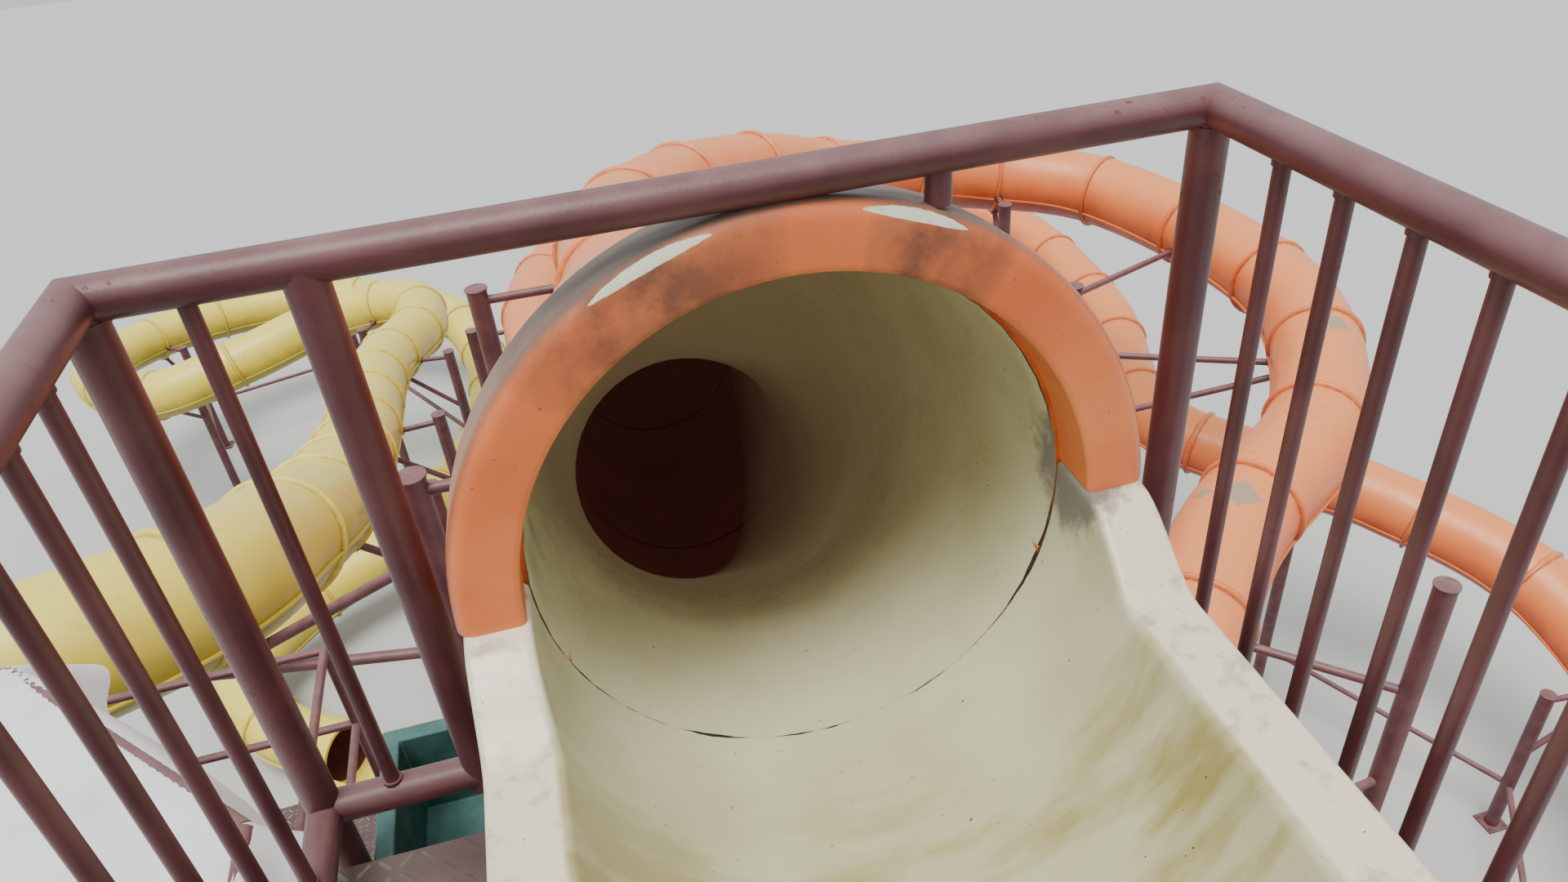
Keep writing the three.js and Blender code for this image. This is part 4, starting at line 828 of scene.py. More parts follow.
# %% Tube tree
TUBE_R = 0.46
BORE_R = 0.45
RING_SHAPE = [(0.0, 0.492), (0.003, 0.498), (0.015, 0.497), (0.026, 0.486), (0.034, 0.461)]
WALL_END = 0.0006
START_FLARE, FLARE_LENGTH = 0.0075, 0.08
JOINT_HALF = 0.004


def tube_tree():
    tree, given = new_tree("flume tube", Sides=48, Ledge_middle=0.4405, Ledge_width=0.035, Ledge_thick=0.016,
                           Ledge_drop=0.17)
    tree.interface.new_socket("Bore_finish", in_out="INPUT", socket_type="NodeSocketMaterial")
    path = add(tree, "GeometryNodeMeshToCurve", {0: given.outputs["Geometry"]})
    upright = add(tree, "GeometryNodeSetCurveNormal", {0: path.outputs[0]}, mode="Z_UP")
    reach, hollow = [add(tree, "GeometryNodeInputNamedAttribute", {"Name": name}, data_type="FLOAT")
                     for name in ("reach", "hollow")]
    circle = add(tree, "GeometryNodeCurvePrimitiveCircle", {"Resolution": given.outputs["Sides"],
                                                            "Radius": 1.0})
    outside, inside = [add(tree, "GeometryNodeCurveToMesh", {"Curve": upright, "Profile Curve": circle,
                                                             "Scale": size.outputs["Attribute"]})
                       for size in (reach, hollow)]
    turned = add(tree, "GeometryNodeFlipFaces", {0: inside.outputs[0]})
    lined = add(tree, "GeometryNodeSetMaterial", {"Geometry": turned.outputs[0],
                                                  "Material": given.outputs["Bore_finish"]})
    strip = add(tree, "GeometryNodeCurvePrimitiveQuadrilateral", {"Width": given.outputs["Ledge_width"],
                                                                  "Height": given.outputs["Ledge_thick"]})
    shell = add(tree, "GeometryNodeJoinGeometry")
    for side in (1, -1):
        across = add(tree, "ShaderNodeMath", [given.outputs["Ledge_middle"], side], operation="MULTIPLY")
        offset = add(tree, "ShaderNodeCombineXYZ", {"X": across, "Y": given.outputs["Ledge_drop"]})
        beside = add(tree, "GeometryNodeTransform", {"Geometry": strip, "Translation": offset})
        ledge = add(tree, "GeometryNodeCurveToMesh", {"Curve": upright, "Profile Curve": beside,
                                                      "Fill Caps": True})
        tree.links.new(ledge.outputs[0], shell.inputs[0])
    tree.links.new(outside.outputs[0], shell.inputs[0])
    real = add(tree, "GeometryNodeRealizeInstances", {0: shell.outputs[0]})
    coated = add(tree, "GeometryNodeSetMaterial", {"Geometry": real, "Material": given.outputs["Finish"]})
    both = add(tree, "GeometryNodeJoinGeometry", {0: lined.outputs[0]})
    tree.links.new(coated.outputs[0], both.inputs[0])
    closed = add(tree, "GeometryNodeMergeByDistance", {"Geometry": both.outputs[0], "Distance": WALL_END / 4})
    add(tree, "NodeGroupOutput", {0: closed.outputs[0]})
    return tree


TUBE = tube_tree()


print("tube tree", len(TUBE.nodes), "nodes")

# %% Tubes along the routes


def bore_radius(s):
    """The bore, opened a little at the flume's start to meet the tub."""
    return BORE_R + START_FLARE * max(0.0, 1 - s / FLARE_LENGTH) ** 2


def tube_start(route, first, last):
    """The axis from one ring to another, with both radii, the darkening at the ring feet and the joints at
    each point.
    """
    marks = []
    for k in range(first, last + 1):
        at = k * route.pitch
        if k > first:
            marks += [(at - off, radius) for off, radius in reversed(RING_SHAPE[1:])]
            marks.append((at - WALL_END if k == last else at, RING_SHAPE[0][1]))
        if k < last:
            marks.append((at + WALL_END if k == first else at + 0.0001, RING_SHAPE[0][1]))
            marks += [(at + off, radius) for off, radius in RING_SHAPE[1:]]
            marks += [(at + 0.06, TUBE_R)]
            marks += [(at + route.pitch * part / 8, TUBE_R) for part in range(1, 8)]
            marks += [(at + route.pitch - 0.06, TUBE_R)]
    start, end = first * route.pitch + WALL_END / 2, last * route.pitch - WALL_END / 2
    marks = [(start, bore_radius(start)), *marks, (end, bore_radius(end))]
    mesh = edge_mesh([[(route.place(s), radius) for s, radius in marks]])
    off_ring = [abs((s / route.pitch + 0.5) % 1 - 0.5) * route.pitch for s, radius in marks]
    layers = {"hollow": [bore_radius(s) for s, radius in marks],
              "joint": [1.0 if off < JOINT_HALF else 0.0 for off in off_ring],
              "ring_foot": [max(0.0, 1 - max(0.0, off - 0.03) / 0.02) if radius <= TUBE_R + 0.002 else 0.15
                        for off, (s, radius) in zip(off_ring, marks)]}
    for name, values in layers.items():
        mesh.attributes.new(name, "FLOAT", "POINT").data.foreach_set("value", values)
    return mesh


def flume(name, finish, sections):
    route = ROUTES[name]
    joints = [0] + [1 + round((route.rings - 1) * part / sections) for part in range(sections + 1)]
    for i, (first, last) in enumerate(zip(joints, joints[1:])):
        node = f"{name}_tube_{i}" if i else f"{name}_entry_tube"
        lining = bore if i else (cream if name == "orange" else yellow)
        mesh = grown(tube_start(route, first, last), TUBE, finish, Bore_finish=lining)
        made = piece(node + "_shell", [mesh], name, node)
        print(made.name, len(made.data.polygons), "faces")


flume("orange", orange, 6)
flume("yellow", yellow, 4)

# %% [markdown]
# ## Masts and arms
# Away from the tower the flumes hang on round masts. Each mast has a base plate, a cap, and arms that end
# in a small flange on the tube, most with a strut from below. They are grouped in trestles by ties. The
# places come from the rings that they carry, so the table below says only which ring, on which side and
# how far off.

# %% Trestle plan
MAST = 0.168
BRACE = 0.076
UNDER_ARM = 0.6
STRUT_END = 0.3


def arm(flume_name, ring, drop=0.15, tilt=0.0, strut=-1.0):
    return {"route": ROUTES[flume_name], "ring": ring, "drop": drop, "tilt": tilt, "strut": strut}


def mast(side, *arms, off=0.95, rise=0.11):
    """A mast beside the ring of its first arm, on the rider's right (1) or left (-1)."""
    route, ring = arms[0]["route"], arms[0]["ring"]
    spot = route.ring(ring) + route.axes(ring * route.pitch)[1] * side * off
    top = max(arm_level(a) for a in arms) + rise
    return {"spot": Vector((spot.x, spot.y, 0)), "top": top, "arms": arms}


def arm_level(a):
    return a["route"].ring(a["ring"]).z - a["drop"] + a["tilt"]


TRESTLES = [
    ((1.5, 5.0), [mast(-1, arm("orange", 3, UNDER_ARM), arm("yellow", 1, UNDER_ARM, strut=0.8), off=1.45),
                  mast(-1, arm("orange", 5, 0.23), off=1.15), mast(1, arm("yellow", 3))]),
    ((1.5, 5.5), [mast(1, arm("orange", 8)), mast(1, arm("orange", 11)),
                  mast(1, arm("orange", 15, 0.25), arm("orange", 13, 0.25, 0.6, 0), off=2.56)]),
    ((3.0, 5.5), [mast(-1, arm("orange", 18, strut=-1.6), off=1.6, rise=1.1),
                  mast(-1, arm("orange", 20), off=1.15)]),
    ((1.5, 4.5), [mast(-1, arm("orange", ring)) for ring in (24, 27, 30)]),
    ((1.0, 3.0), [mast(1, arm("orange", ring)) for ring in (33, 36, 39)]),
    ((0.8,), [mast(1, arm("orange", 42)), mast(1, arm("orange", 45)), mast(1, arm("orange", 48, strut=0))]),
    ((3.0,), [mast(1, arm("yellow", 6)), mast(1, arm("yellow", 9)), mast(-1, arm("yellow", 12))]),
    ((1.2,), [mast(1, arm("yellow", ring)) for ring in (15, 18, 21)]),
    ((0.6,), [mast(-1, arm("yellow", 24)), mast(1, arm("yellow", 27, strut=0))])]
print(sum(len(masts) for ties, masts in TRESTLES), "masts")

# %% [markdown]
# ### Columns, plates and anchor bolts
# A column is a pipe on a square base plate. Four anchor rods stand up through the plate with a nut each.
# The plate is a block, and the nuts come from the tree of small parts.

# %% Columns
BASE = 0.3
BASE_T = 0.025
ANCHOR = 0.11
ANCHOR_NUT = (0.018, 0.024)
CAP_RADIUS, CAP_T = 0.094, 0.012


def column(spot, top):
    """A column's pipe, base plate and the places of its anchor nuts."""
    x, y = spot.x, spot.y
    half = BASE / 2
    pipe = bar((x, y, BASE_T / 2), (x, y, top), MAST)
    foot = block((x - half, y - half, 0), (x + half, y + half, BASE_T))
    nuts = [(Vector((x + i * ANCHOR, y + j * ANCHOR, BASE_T + 0.012)), (0, 0, 1))
            for i in (-1, 1) for j in (-1, 1)]
    return pipe, foot, nuts


print("columns on plates", BASE, "m wide")

# %% Arms of the masts


def stop_at_tube(a, b, route, ring):
    """The end of a bar that runs from a into the tube at a ring, cut back to the tube's outside."""
    middle = route.ring(ring)
    ahead = route.axes(ring * route.pitch)[0]
    low, high = 0.0, 1.0
    for _ in range(30):
        t = (low + high) / 2
        off = a.lerp(b, t) - middle
        outside = (off - ahead * off.dot(ahead)).length > RING_SHAPE[1][1] - 0.02
        low, high = (t, high) if outside else (low, t)
    return a.lerp(b, low)


def pad(tip, back, radius=0.062, thick=0.02):
    """The flange at an arm's end."""
    inner = tip + (back - tip).normalized() * thick
    return [(inner, radius), (tip, radius)]


def arm_runs(spot, a):
    """Pipes of one arm."""
    route, ring = a["route"], a["ring"]
    middle = route.ring(ring)
    level = arm_level(a)
    at_mast = Vector((spot.x, spot.y, level))
    tip = Vector((middle.x, middle.y, level - a["tilt"]))
    if a["drop"] == UNDER_ARM:
        runs = [bar(at_mast, tip, BRACE)]
        stub = stop_at_tube(tip, middle, route, ring)
        runs += [bar(tip, stub, BRACE), pad(stub, tip)]
    else:
        end = stop_at_tube(at_mast, tip, route, ring)
        runs = [bar(at_mast, end, BRACE), pad(end, at_mast)]
    foot = at_mast + Vector((0, 0, a["strut"]))
    if a["strut"] > 0 or a["strut"] < 0 and a["drop"] == UNDER_ARM:
        runs.append(bar(foot, tip, BRACE))
    elif a["strut"] < 0:
        end = stop_at_tube(foot, middle - Vector((0, 0, STRUT_END)), route, ring)
        runs += [bar(foot, end, BRACE), pad(end, foot)]
    return runs


first_mast = TRESTLES[0][1][0]
print("first arm of", len(arm_runs(first_mast["spot"], first_mast["arms"][0])), "pipes")

# %% Trestles


def trestle(i, ties, masts):
    thick, thin, plates, nuts = [], [], [], []
    for m in masts:
        pipe, foot, anchors = column(m["spot"], m["top"])
        cap = m["spot"] + Vector((0, 0, m["top"]))
        thick += [pipe, [(cap + Vector((0, 0, z)), CAP_RADIUS) for z in (-CAP_T / 2, CAP_T / 2)]]
        plates.append(foot)
        nuts += anchors
        for a in m["arms"]:
            thin += arm_runs(m["spot"], a)
    for a, b in zip(masts, masts[1:]):
        lift = [Vector((0, 0, level)) for level in ties]
        thin += [bar(a["spot"] + up, b["spot"] + up, BRACE) for up in lift]
        if len(ties) > 1:
            thin.append(bar(a["spot"] + lift[0], b["spot"] + lift[1], BRACE))
    name = f"flume_trestle_{i}"
    meshes = [pipes(thick, sides=20), pipes(thin), *plates, studs(nuts, *ANCHOR_NUT)]
    return piece(name + "_pipes", meshes, "steel", name)


for i, (ties, masts) in enumerate(TRESTLES, 1):
    made = trestle(i, ties, masts)
print("last trestle", made.name, len(made.data.polygons), "faces")

# %% [markdown]
# ## The tower's frames
# Three flat frames of columns stand behind each other, with rolled beams under the landings and a zigzag
# of pipe braces in each storey. The stair climbs beside them in four flights of sixteen risers. All the
# levels follow from the riser, so they are worked out here just as a steel drawing would.

# %% Levels and lines of the tower
RISER = 0.18
GOING = 0.26
RISERS = 16
STOREY = RISER * RISERS
DECK = 4 * STOREY
LOWER_DECK = 3 * STOREY
PLATE_T = 0.012
BEAM_DEPTH, BEAM_WIDTH = 0.2, 0.09
UNDER_PLATE = PLATE_T + 0.0003
FRONT_ROW, MIDDLE_ROW, REAR_ROW = -0.1, -3.25, -5.47
TOWER_LEFT, TOWER_RIGHT = -0.83, 0.61
DECK_LEFT, DECK_FRONT = -0.93, 0.04
STAIR_BACK = -5.6
STAIR_RUN = GOING * (RISERS - 1)
STAIR_LEFT = DECK_LEFT - STAIR_RUN
LANDING_LEFT = STAIR_LEFT - 1.4
STAIR_POST_IN, STAIR_POST_OUT = STAIR_LEFT - 0.1, LANDING_LEFT + 0.1
BRACE_LEVELS = [0.3] + [k * STOREY - 0.45 for k in (1, 2, 3, 4)]


def rolled_beam(a, b, top):
    """An I-section between two places, its upper face at a height."""
    half, flange, web = BEAM_WIDTH / 2, 0.012, 0.004
    along = Vector((b[0] - a[0], b[1] - a[1], 0)).normalized()
    side = Vector((along.y, -along.x, 0))
    drawn = [(-half, 0), (half, 0), (half, -flange), (web, -flange), (web, flange - BEAM_DEPTH),
             (half, flange - BEAM_DEPTH), (half, -BEAM_DEPTH), (-half, -BEAM_DEPTH),
             (-half, flange - BEAM_DEPTH), (-web, flange - BEAM_DEPTH), (-web, -flange), (-half, -flange)]
    ends = [Vector((*a, top)) - along * half, Vector((*b, top)) + along * half]
    return skin([[end + side * x + Vector((0, 0, z)) for x, z in drawn] for end in ends], steel)


def zigzag(x0, x1, storeys, landings=()):
    """Braces of one bay: a diagonal and a tie in each storey, as low and high ends in X and Z."""
    braces = []
    for k in range(storeys):
        low = k * STOREY + 0.12 if k in landings else BRACE_LEVELS[k]
        high = BRACE_LEVELS[k + 1]
        start, end = (x0, x1) if k % 2 == 0 else (x1, x0)
        braces += [((start, low), (end, high)), ((x0, high), (x1, high))]
    return braces


def column_frame(node, y, posts, beams, braces):
    made = [column(Vector((x, y, 0)), top) for x, top in posts]
    runs = [bar((xa, y, za), (xb, y, zb), BRACE) for (xa, za), (xb, zb) in braces]
    meshes = [pipes([pipe for pipe, foot, nuts in made], sides=20), pipes(runs)]
    meshes += [foot for pipe, foot, nuts in made]
    meshes += [rolled_beam((x0, y), (x1, y), level - UNDER_PLATE) for x0, x1, level in beams]
    meshes.append(studs([spot for pipe, foot, nuts in made for spot in nuts], *ANCHOR_NUT))
    return piece(node + "_pipes", meshes, "steel", node)


def side_bracing(node, x, rows, levels):
    runs = [bar((x, rows[0], level), (x, rows[-1], level), BRACE) for level in levels]
    for i in range(len(rows) - 1):
        for k in range(len(levels) - 1):
            near, far = (rows[i], rows[i + 1]) if (i + k) % 2 == 0 else (rows[i + 1], rows[i])
            runs.append(bar((x, near, levels[k]), (x, far, levels[k + 1]), BRACE))
    return piece(node + "_pipes", [pipes(runs)], "steel", node)


# %% Frames of the tower
deck_post = DECK - UNDER_PLATE - BEAM_DEPTH - 0.0003
lower_post = LOWER_DECK - UNDER_PLATE - 0.001
deck_posts = [(TOWER_LEFT, deck_post), (TOWER_RIGHT, deck_post)]
all_posts = [(STAIR_POST_OUT, lower_post), (STAIR_POST_IN, lower_post), *deck_posts]
landing_beams = [(TOWER_LEFT, TOWER_RIGHT, 2 * STOREY), (STAIR_POST_OUT, STAIR_POST_IN, STOREY),
                 (STAIR_POST_OUT, STAIR_POST_IN, LOWER_DECK)]
stair_braces = (zigzag(TOWER_LEFT, TOWER_RIGHT, 4, (2,)) + zigzag(STAIR_POST_IN, TOWER_LEFT, 3)
                + zigzag(STAIR_POST_OUT, STAIR_POST_IN, 3, (1,)))
column_frame("tower_front_frame", FRONT_ROW, deck_posts, [], zigzag(TOWER_LEFT, TOWER_RIGHT, 4))
column_frame("tower_middle_frame", MIDDLE_ROW, all_posts, landing_beams, stair_braces)
column_frame("tower_rear_frame", REAR_ROW, all_posts, landing_beams, stair_braces)
off_column = MAST / 2 + BRACE / 2 + 0.0003
rows = [FRONT_ROW, MIDDLE_ROW, REAR_ROW]
lowered = [BRACE_LEVELS[0]] + [level - 0.3 for level in BRACE_LEVELS[1:]]
side_bracing("tower_right_bracing", TOWER_RIGHT + off_column, rows, BRACE_LEVELS)
side_bracing("tower_left_bracing", TOWER_LEFT - off_column, rows[:2], lowered)
side_bracing("stair_end_bracing", STAIR_POST_OUT - off_column, rows[1:], BRACE_LEVELS[:4])
beams = [rolled_beam((x, REAR_ROW), (x, DECK_FRONT - BEAM_WIDTH / 2), DECK - UNDER_PLATE)
         for x in (TOWER_LEFT, TOWER_RIGHT)]
beams += [rolled_beam((TOWER_LEFT, y), (TOWER_RIGHT, y), DECK - UNDER_PLATE)
          for y in (DECK_FRONT - BEAM_WIDTH / 2, FRONT_ROW - 1.5, MIDDLE_ROW, REAR_ROW + 1.11, REAR_ROW)]
piece("deck_beams_rolled", beams, "steel", "deck_beams")
print("tower frames", len(MADE), "pieces so far")

# %% [markdown]
# ## The lower deck's frames
# The yellow flume starts from a second deck one storey lower, in front of the stairs. Its three rows of
# columns are built in the same way.

# %% Lower deck frames
LOWER_RIGHT, LOWER_BACK, LOWER_FRONT = -1.7, 0.2, 2.9
BAY_RIGHT, BAY_FRONT = -4.35, 4.65
lower_rows = {
    "lower_deck_rear_frame": (LOWER_BACK + 0.1, [STAIR_POST_OUT, STAIR_POST_IN, LOWER_RIGHT - 0.1]),
    "lower_deck_front_frame": (LOWER_FRONT - 0.1, [STAIR_POST_OUT, BAY_RIGHT - 0.1, LOWER_RIGHT - 0.1]),
    "lower_bay_frame": (BAY_FRONT - 0.1, [STAIR_POST_OUT, BAY_RIGHT - 0.1])}
for node, (y, xs) in lower_rows.items():
    braces = [brace for a, b in zip(xs, xs[1:]) for brace in zigzag(a, b, 3)]
    column_frame(node, y, [(x, lower_post) for x in xs], [(xs[0], xs[-1], LOWER_DECK)], braces)
for node in ("deck_plate", "top_landing", "landing_1", "landing_2", "lower_deck"):
    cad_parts[node].material_slots[0].material = plate
for k in (1, 2, 3, 4):
    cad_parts[f"stair_flight_{k}"].material_slots[0].material = steel
print("plates and flights coated")

# %% [markdown]
# ## Rails
# A welded rail is a run of pipe with mitred corners: both pipes are cut in the plane that halves the
# angle. Sweeping a circle round a sharp corner thins the pipe, so this mesh is made by hand. One ring of
# points slides along each length until it meets the next corner's plane, which is exactly what the saw
# does.

# %% Mitred pipe
RAIL_SIDES = 18


def mitred_pipe(points, diameter, start=None, end=None, sides=RAIL_SIDES, finish=steel):
    """A pipe through points. start and end are the directions that its end cuts face, if not square."""
    points = [Vector(point) for point in points]
    runs = [(b - a).normalized() for a, b in zip(points, points[1:])]
    cuts = [Vector(start).normalized() if start else runs[0]]
    cuts += [(a + b).normalized() for a, b in zip(runs, runs[1:])]
    cuts.append(Vector(end).normalized() if end else runs[-1])
    side = runs[0].orthogonal().normalized()
    other = runs[0].cross(side)
    turns = [2 * math.pi * i / sides for i in range(sides)]
    ring = [points[0] + (side * math.cos(a) + other * math.sin(a)) * diameter / 2 for a in turns]
    ring = [v + runs[0] * ((points[0] - v).dot(cuts[0]) / runs[0].dot(cuts[0])) for v in ring]
    rings = [ring]
    for run, point, cut in zip(runs, points[1:], cuts[1:]):
        ring = [v + run * ((point - v).dot(cut) / run.dot(cut)) for v in ring]
        rings.append(ring)
    return skin(rings, finish)


# %% [markdown]
# ### Guard rails of the start deck
# The top and bottom rails are 60 mm pipe, with posts of the same pipe and round balusters 25 mm thick
# at 125 mm. The two front corners are mitred over a post that hangs down the face of the deck beam. The
# front panel is closed by the hood and the tub, and keeps one post, one baluster and a stub on the hood.

# %% Guard rails
RAIL_Y = 0.093
LEFT_X, RIGHT_X = -0.885, 0.659
RAIL_TOP, RAIL_BOTTOM = DECK + 1.07, DECK + 0.099
RAIL_PIPE, BALUSTER, BALUSTER_PITCH, FIRST_BALUSTER = 0.06, 0.025, 0.125, 0.171
PANEL_END = -3.35
POST_FEET = {RAIL_Y: DECK - 0.15, -1.1: DECK, -2.25: DECK, PANEL_END: DECK}
POST_B, BALUSTER_A, STUB_X = -0.619, -0.764, 0.234
HOOD_IN, HOOD_OUT = 0.464, 0.57


def weld_beads(places, radius):
    """Short thick rings where a small pipe is welded to a large one."""
    return [[((x, y, z - 0.004), radius), ((x, y, z + 0.004), radius)] for x, y, z in places]


def guard_panel(node, x, corner):
    """A side panel: corner is the direction that the front mitre faces."""
    ends = [(x, PANEL_END), (x, RAIL_Y)]
    meshes = [mitred_pipe([(*spot, RAIL_TOP) for spot in ends], RAIL_PIPE, end=corner),
              mitred_pipe([(*spot, RAIL_BOTTOM) for spot in ends], RAIL_PIPE)]
    posts = [bar((x, y, foot), (x, y, RAIL_TOP), RAIL_PIPE) for y, foot in POST_FEET.items()]
    meshes.append(pipes(posts, sides=18))
    count = int((RAIL_Y - PANEL_END - FIRST_BALUSTER) / BALUSTER_PITCH + 0.5)
    ys = [RAIL_Y - FIRST_BALUSTER - BALUSTER_PITCH * i for i in range(count)]
    meshes.append(pipes([bar((x, y, RAIL_BOTTOM), (x, y, RAIL_TOP), BALUSTER) for y in ys], sides=12))
    low, high = RAIL_BOTTOM + RAIL_PIPE / 2, RAIL_TOP - RAIL_PIPE / 2
    beads = weld_beads([(x, y, z) for y in ys for z in (low, high)], BALUSTER / 2 + 0.003)
    beads += weld_beads([(x, y, high) for y in POST_FEET], RAIL_PIPE / 2 + 0.003)
    meshes.append(pipes(beads, sides=12))
    return piece(node + "_welded", meshes, "steel", node)


print("balusters every", BALUSTER_PITCH, "m")

# %% Panels of the start deck
guard_panel("left_guard_rail", LEFT_X, (1, 1, 0))
guard_panel("right_guard_rail", RIGHT_X, (-1, 1, 0))
hood_top = MOUTH_Z + math.sqrt(HOOD_OUT ** 2 - STUB_X ** 2) - 0.004
top_rail = [(LEFT_X, RAIL_Y, RAIL_TOP), (RIGHT_X, RAIL_Y, RAIL_TOP)]
front = [mitred_pipe(top_rail, RAIL_PIPE, (1, 1, 0), (1, -1, 0)),
         pipes([bar((LEFT_X, RAIL_Y, RAIL_BOTTOM), (POST_B, RAIL_Y, RAIL_BOTTOM), RAIL_PIPE),
                bar((POST_B, RAIL_Y, RAIL_BOTTOM - RAIL_PIPE / 2), (POST_B, RAIL_Y, RAIL_TOP), RAIL_PIPE)],
               sides=18),
         pipes([bar((BALUSTER_A, RAIL_Y, RAIL_BOTTOM), (BALUSTER_A, RAIL_Y, RAIL_TOP), BALUSTER)], sides=12),
         pipes([bar((STUB_X, RAIL_Y, hood_top), (STUB_X, RAIL_Y, RAIL_TOP), 0.04)], sides=16),
         pipes(weld_beads([(BALUSTER_A, RAIL_Y, RAIL_BOTTOM + 0.03)], 0.017), sides=12)]
piece("front_guard_rail_welded", front, "steel", "front_guard_rail")
print("guard rails done,", len(MADE), "pieces so far")

# %% [markdown]
# ### Hand rails of the stairs and landings
# Along the flights run two-rail hand rails of 42 mm pipe, on the outer face of each stringer, and round
# the landings they turn with mitred corners. Between the lanes each flight's rails end on a thick newel.

# %% Hand rails
HAND, MID, HAND_PIPE, POST_PIPE = 1.0, 0.5, 0.042, 0.046
FRONT_LANE, REAR_LANE, LANE = -3.41, -5.31, 0.9
BESIDE = HAND_PIPE / 2 + 0.0023
OUTER_FRONT, OUTER_REAR = FRONT_LANE + BESIDE, REAR_LANE - BESIDE
INNER_FRONT, INNER_REAR = FRONT_LANE - LANE - BESIDE, REAR_LANE + LANE + BESIDE
FLIGHTS = [(DECK_LEFT, -1), (STAIR_LEFT, 1), (DECK_LEFT, -1), (STAIR_LEFT, 1)]
LEFT_TURN, RIGHT_TURN = STAIR_POST_OUT + MAST / 2 + 0.03, TOWER_RIGHT - MAST / 2 - 0.03


def two_rails(points):
    """Hand rail and middle rail through points given at the hand rail's height."""
    return [mitred_pipe([(x, y, z - drop) for x, y, z in points], HAND_PIPE, sides=14) for drop in (0, MID)]


def upright(at, foot, diameter=POST_PIPE):
    return bar((at[0], at[1], foot), at, diameter)


def flight_line(k, y):
    """Foot and head of the hand rail over flight k, and its posts down the stringer."""
    x, way = FLIGHTS[k]
    foot = Vector((x, y, k * STOREY + RISER + HAND))
    head = Vector((x + way * STAIR_RUN, y, (k + 1) * STOREY + HAND))
    posts = [upright(foot.lerp(head, t), foot.lerp(head, t).z - HAND - 0.19) for t in (0.02, 0.5, 0.98)]
    return foot, head, posts


def outer_rail(k):
    lines = [OUTER_REAR, OUTER_FRONT, OUTER_REAR, OUTER_FRONT]
    y = lines[k]
    foot, head, posts = flight_line(k, y)
    points = [foot, head]
    if k < 2:
        turn = LEFT_TURN if k == 0 else RIGHT_TURN
        points += [Vector((turn, y, head.z)), Vector((turn, lines[k + 1], head.z)),
                   Vector((FLIGHTS[k + 1][0], lines[k + 1], head.z))]
        posts += [upright(point, head.z - HAND) for point in points[2:4]]
    node = f"stair_outer_rail_{k + 1}"
    return piece(node + "_welded", [*two_rails(points), pipes(posts)], "steel", node)


for k in range(4):
    outer_rail(k)
print("outer rails done,", len(MADE), "pieces so far")

# %% Inner rails and the top landing
NEWEL = 0.096
newel_y = (INNER_FRONT + INNER_REAR) / 2
inner, uprights, newels = [], [], []
for k in range(4):
    y = INNER_REAR if k % 2 == 0 else INNER_FRONT
    foot, head, posts = flight_line(k, y)
    step = Vector((FLIGHTS[k][1], 0, RISER / GOING)) * (NEWEL / 2)
    inner += two_rails([foot if k == 0 else foot - step, head + step])
    uprights += posts
    top = (head.x + step.x, newel_y, head.z + RISER + 0.06)
    newels.append(upright(top, (k + 1) * STOREY, NEWEL))
inner += [pipes(uprights), pipes(newels, sides=18)]
piece("stair_inner_rail_welded", inner, "steel", "stair_inner_rail")
landing_z = DECK + HAND
line = [(RIGHT_X, PANEL_END - 0.09, landing_z), (RIGHT_X, STAIR_BACK + 0.045, landing_z),
        (LEFT_X, STAIR_BACK + 0.045, landing_z), (LEFT_X, INNER_REAR - 0.07, landing_z)]
piece("top_landing_rail_welded", [*two_rails(line), pipes([upright(at, DECK) for at in line])], "steel",
      "top_landing_rail")
print("hand rails done,", len(MADE), "pieces so far")

# %% Rails of the lower deck
z = LOWER_DECK + HAND
left, right, bay_x, opening = LANDING_LEFT + 0.04, LOWER_RIGHT - 0.04, BAY_RIGHT - 0.04, 0.6
yellow_y = YELLOW_ROUTE[0][1]
LOWER_LINES = {
    "lower_left_rail": ([(STAIR_LEFT, OUTER_REAR), (left, OUTER_REAR), (left, BAY_FRONT - 0.04),
                         (bay_x, BAY_FRONT - 0.04), (bay_x, yellow_y + opening)],
                        [(left, y) for y in (OUTER_REAR, -3.1, -1.4, 0.3, 2.0, 3.3, BAY_FRONT - 0.04)]
                        + [(-5.3, BAY_FRONT - 0.04), (bay_x, BAY_FRONT - 0.04), (bay_x, yellow_y + opening)]),
    "lower_front_rail": ([(bay_x, yellow_y - opening), (bay_x, LOWER_FRONT - 0.04),
                          (right, LOWER_FRONT - 0.04), (right, LOWER_BACK + 0.04)],
                         [(bay_x, yellow_y - opening), (bay_x, LOWER_FRONT - 0.04),
                          (-3.0, LOWER_FRONT - 0.04), (right, LOWER_FRONT - 0.04), (right, 1.5),
                          (right, LOWER_BACK + 0.04)]),
    "lower_rear_rail": ([(right - 0.08, LOWER_BACK + 0.04), (STAIR_LEFT - 0.04, LOWER_BACK + 0.04),
                         (STAIR_LEFT - 0.04, OUTER_FRONT + 0.06)],
                        [(right - 0.08, LOWER_BACK + 0.04), (-3.0, LOWER_BACK + 0.04),
                         (STAIR_LEFT - 0.04, LOWER_BACK + 0.04), (STAIR_LEFT - 0.04, -1.6),
                         (STAIR_LEFT - 0.04, OUTER_FRONT + 0.06)])}
for node, (turns, feet) in LOWER_LINES.items():
    rails = two_rails([(x, y, z) for x, y in turns])
    piece(node + "_welded", [*rails, pipes([upright((x, y, z), LOWER_DECK) for x, y in feet])], "steel", node)
print("lower rails done,", len(MADE), "pieces so far")

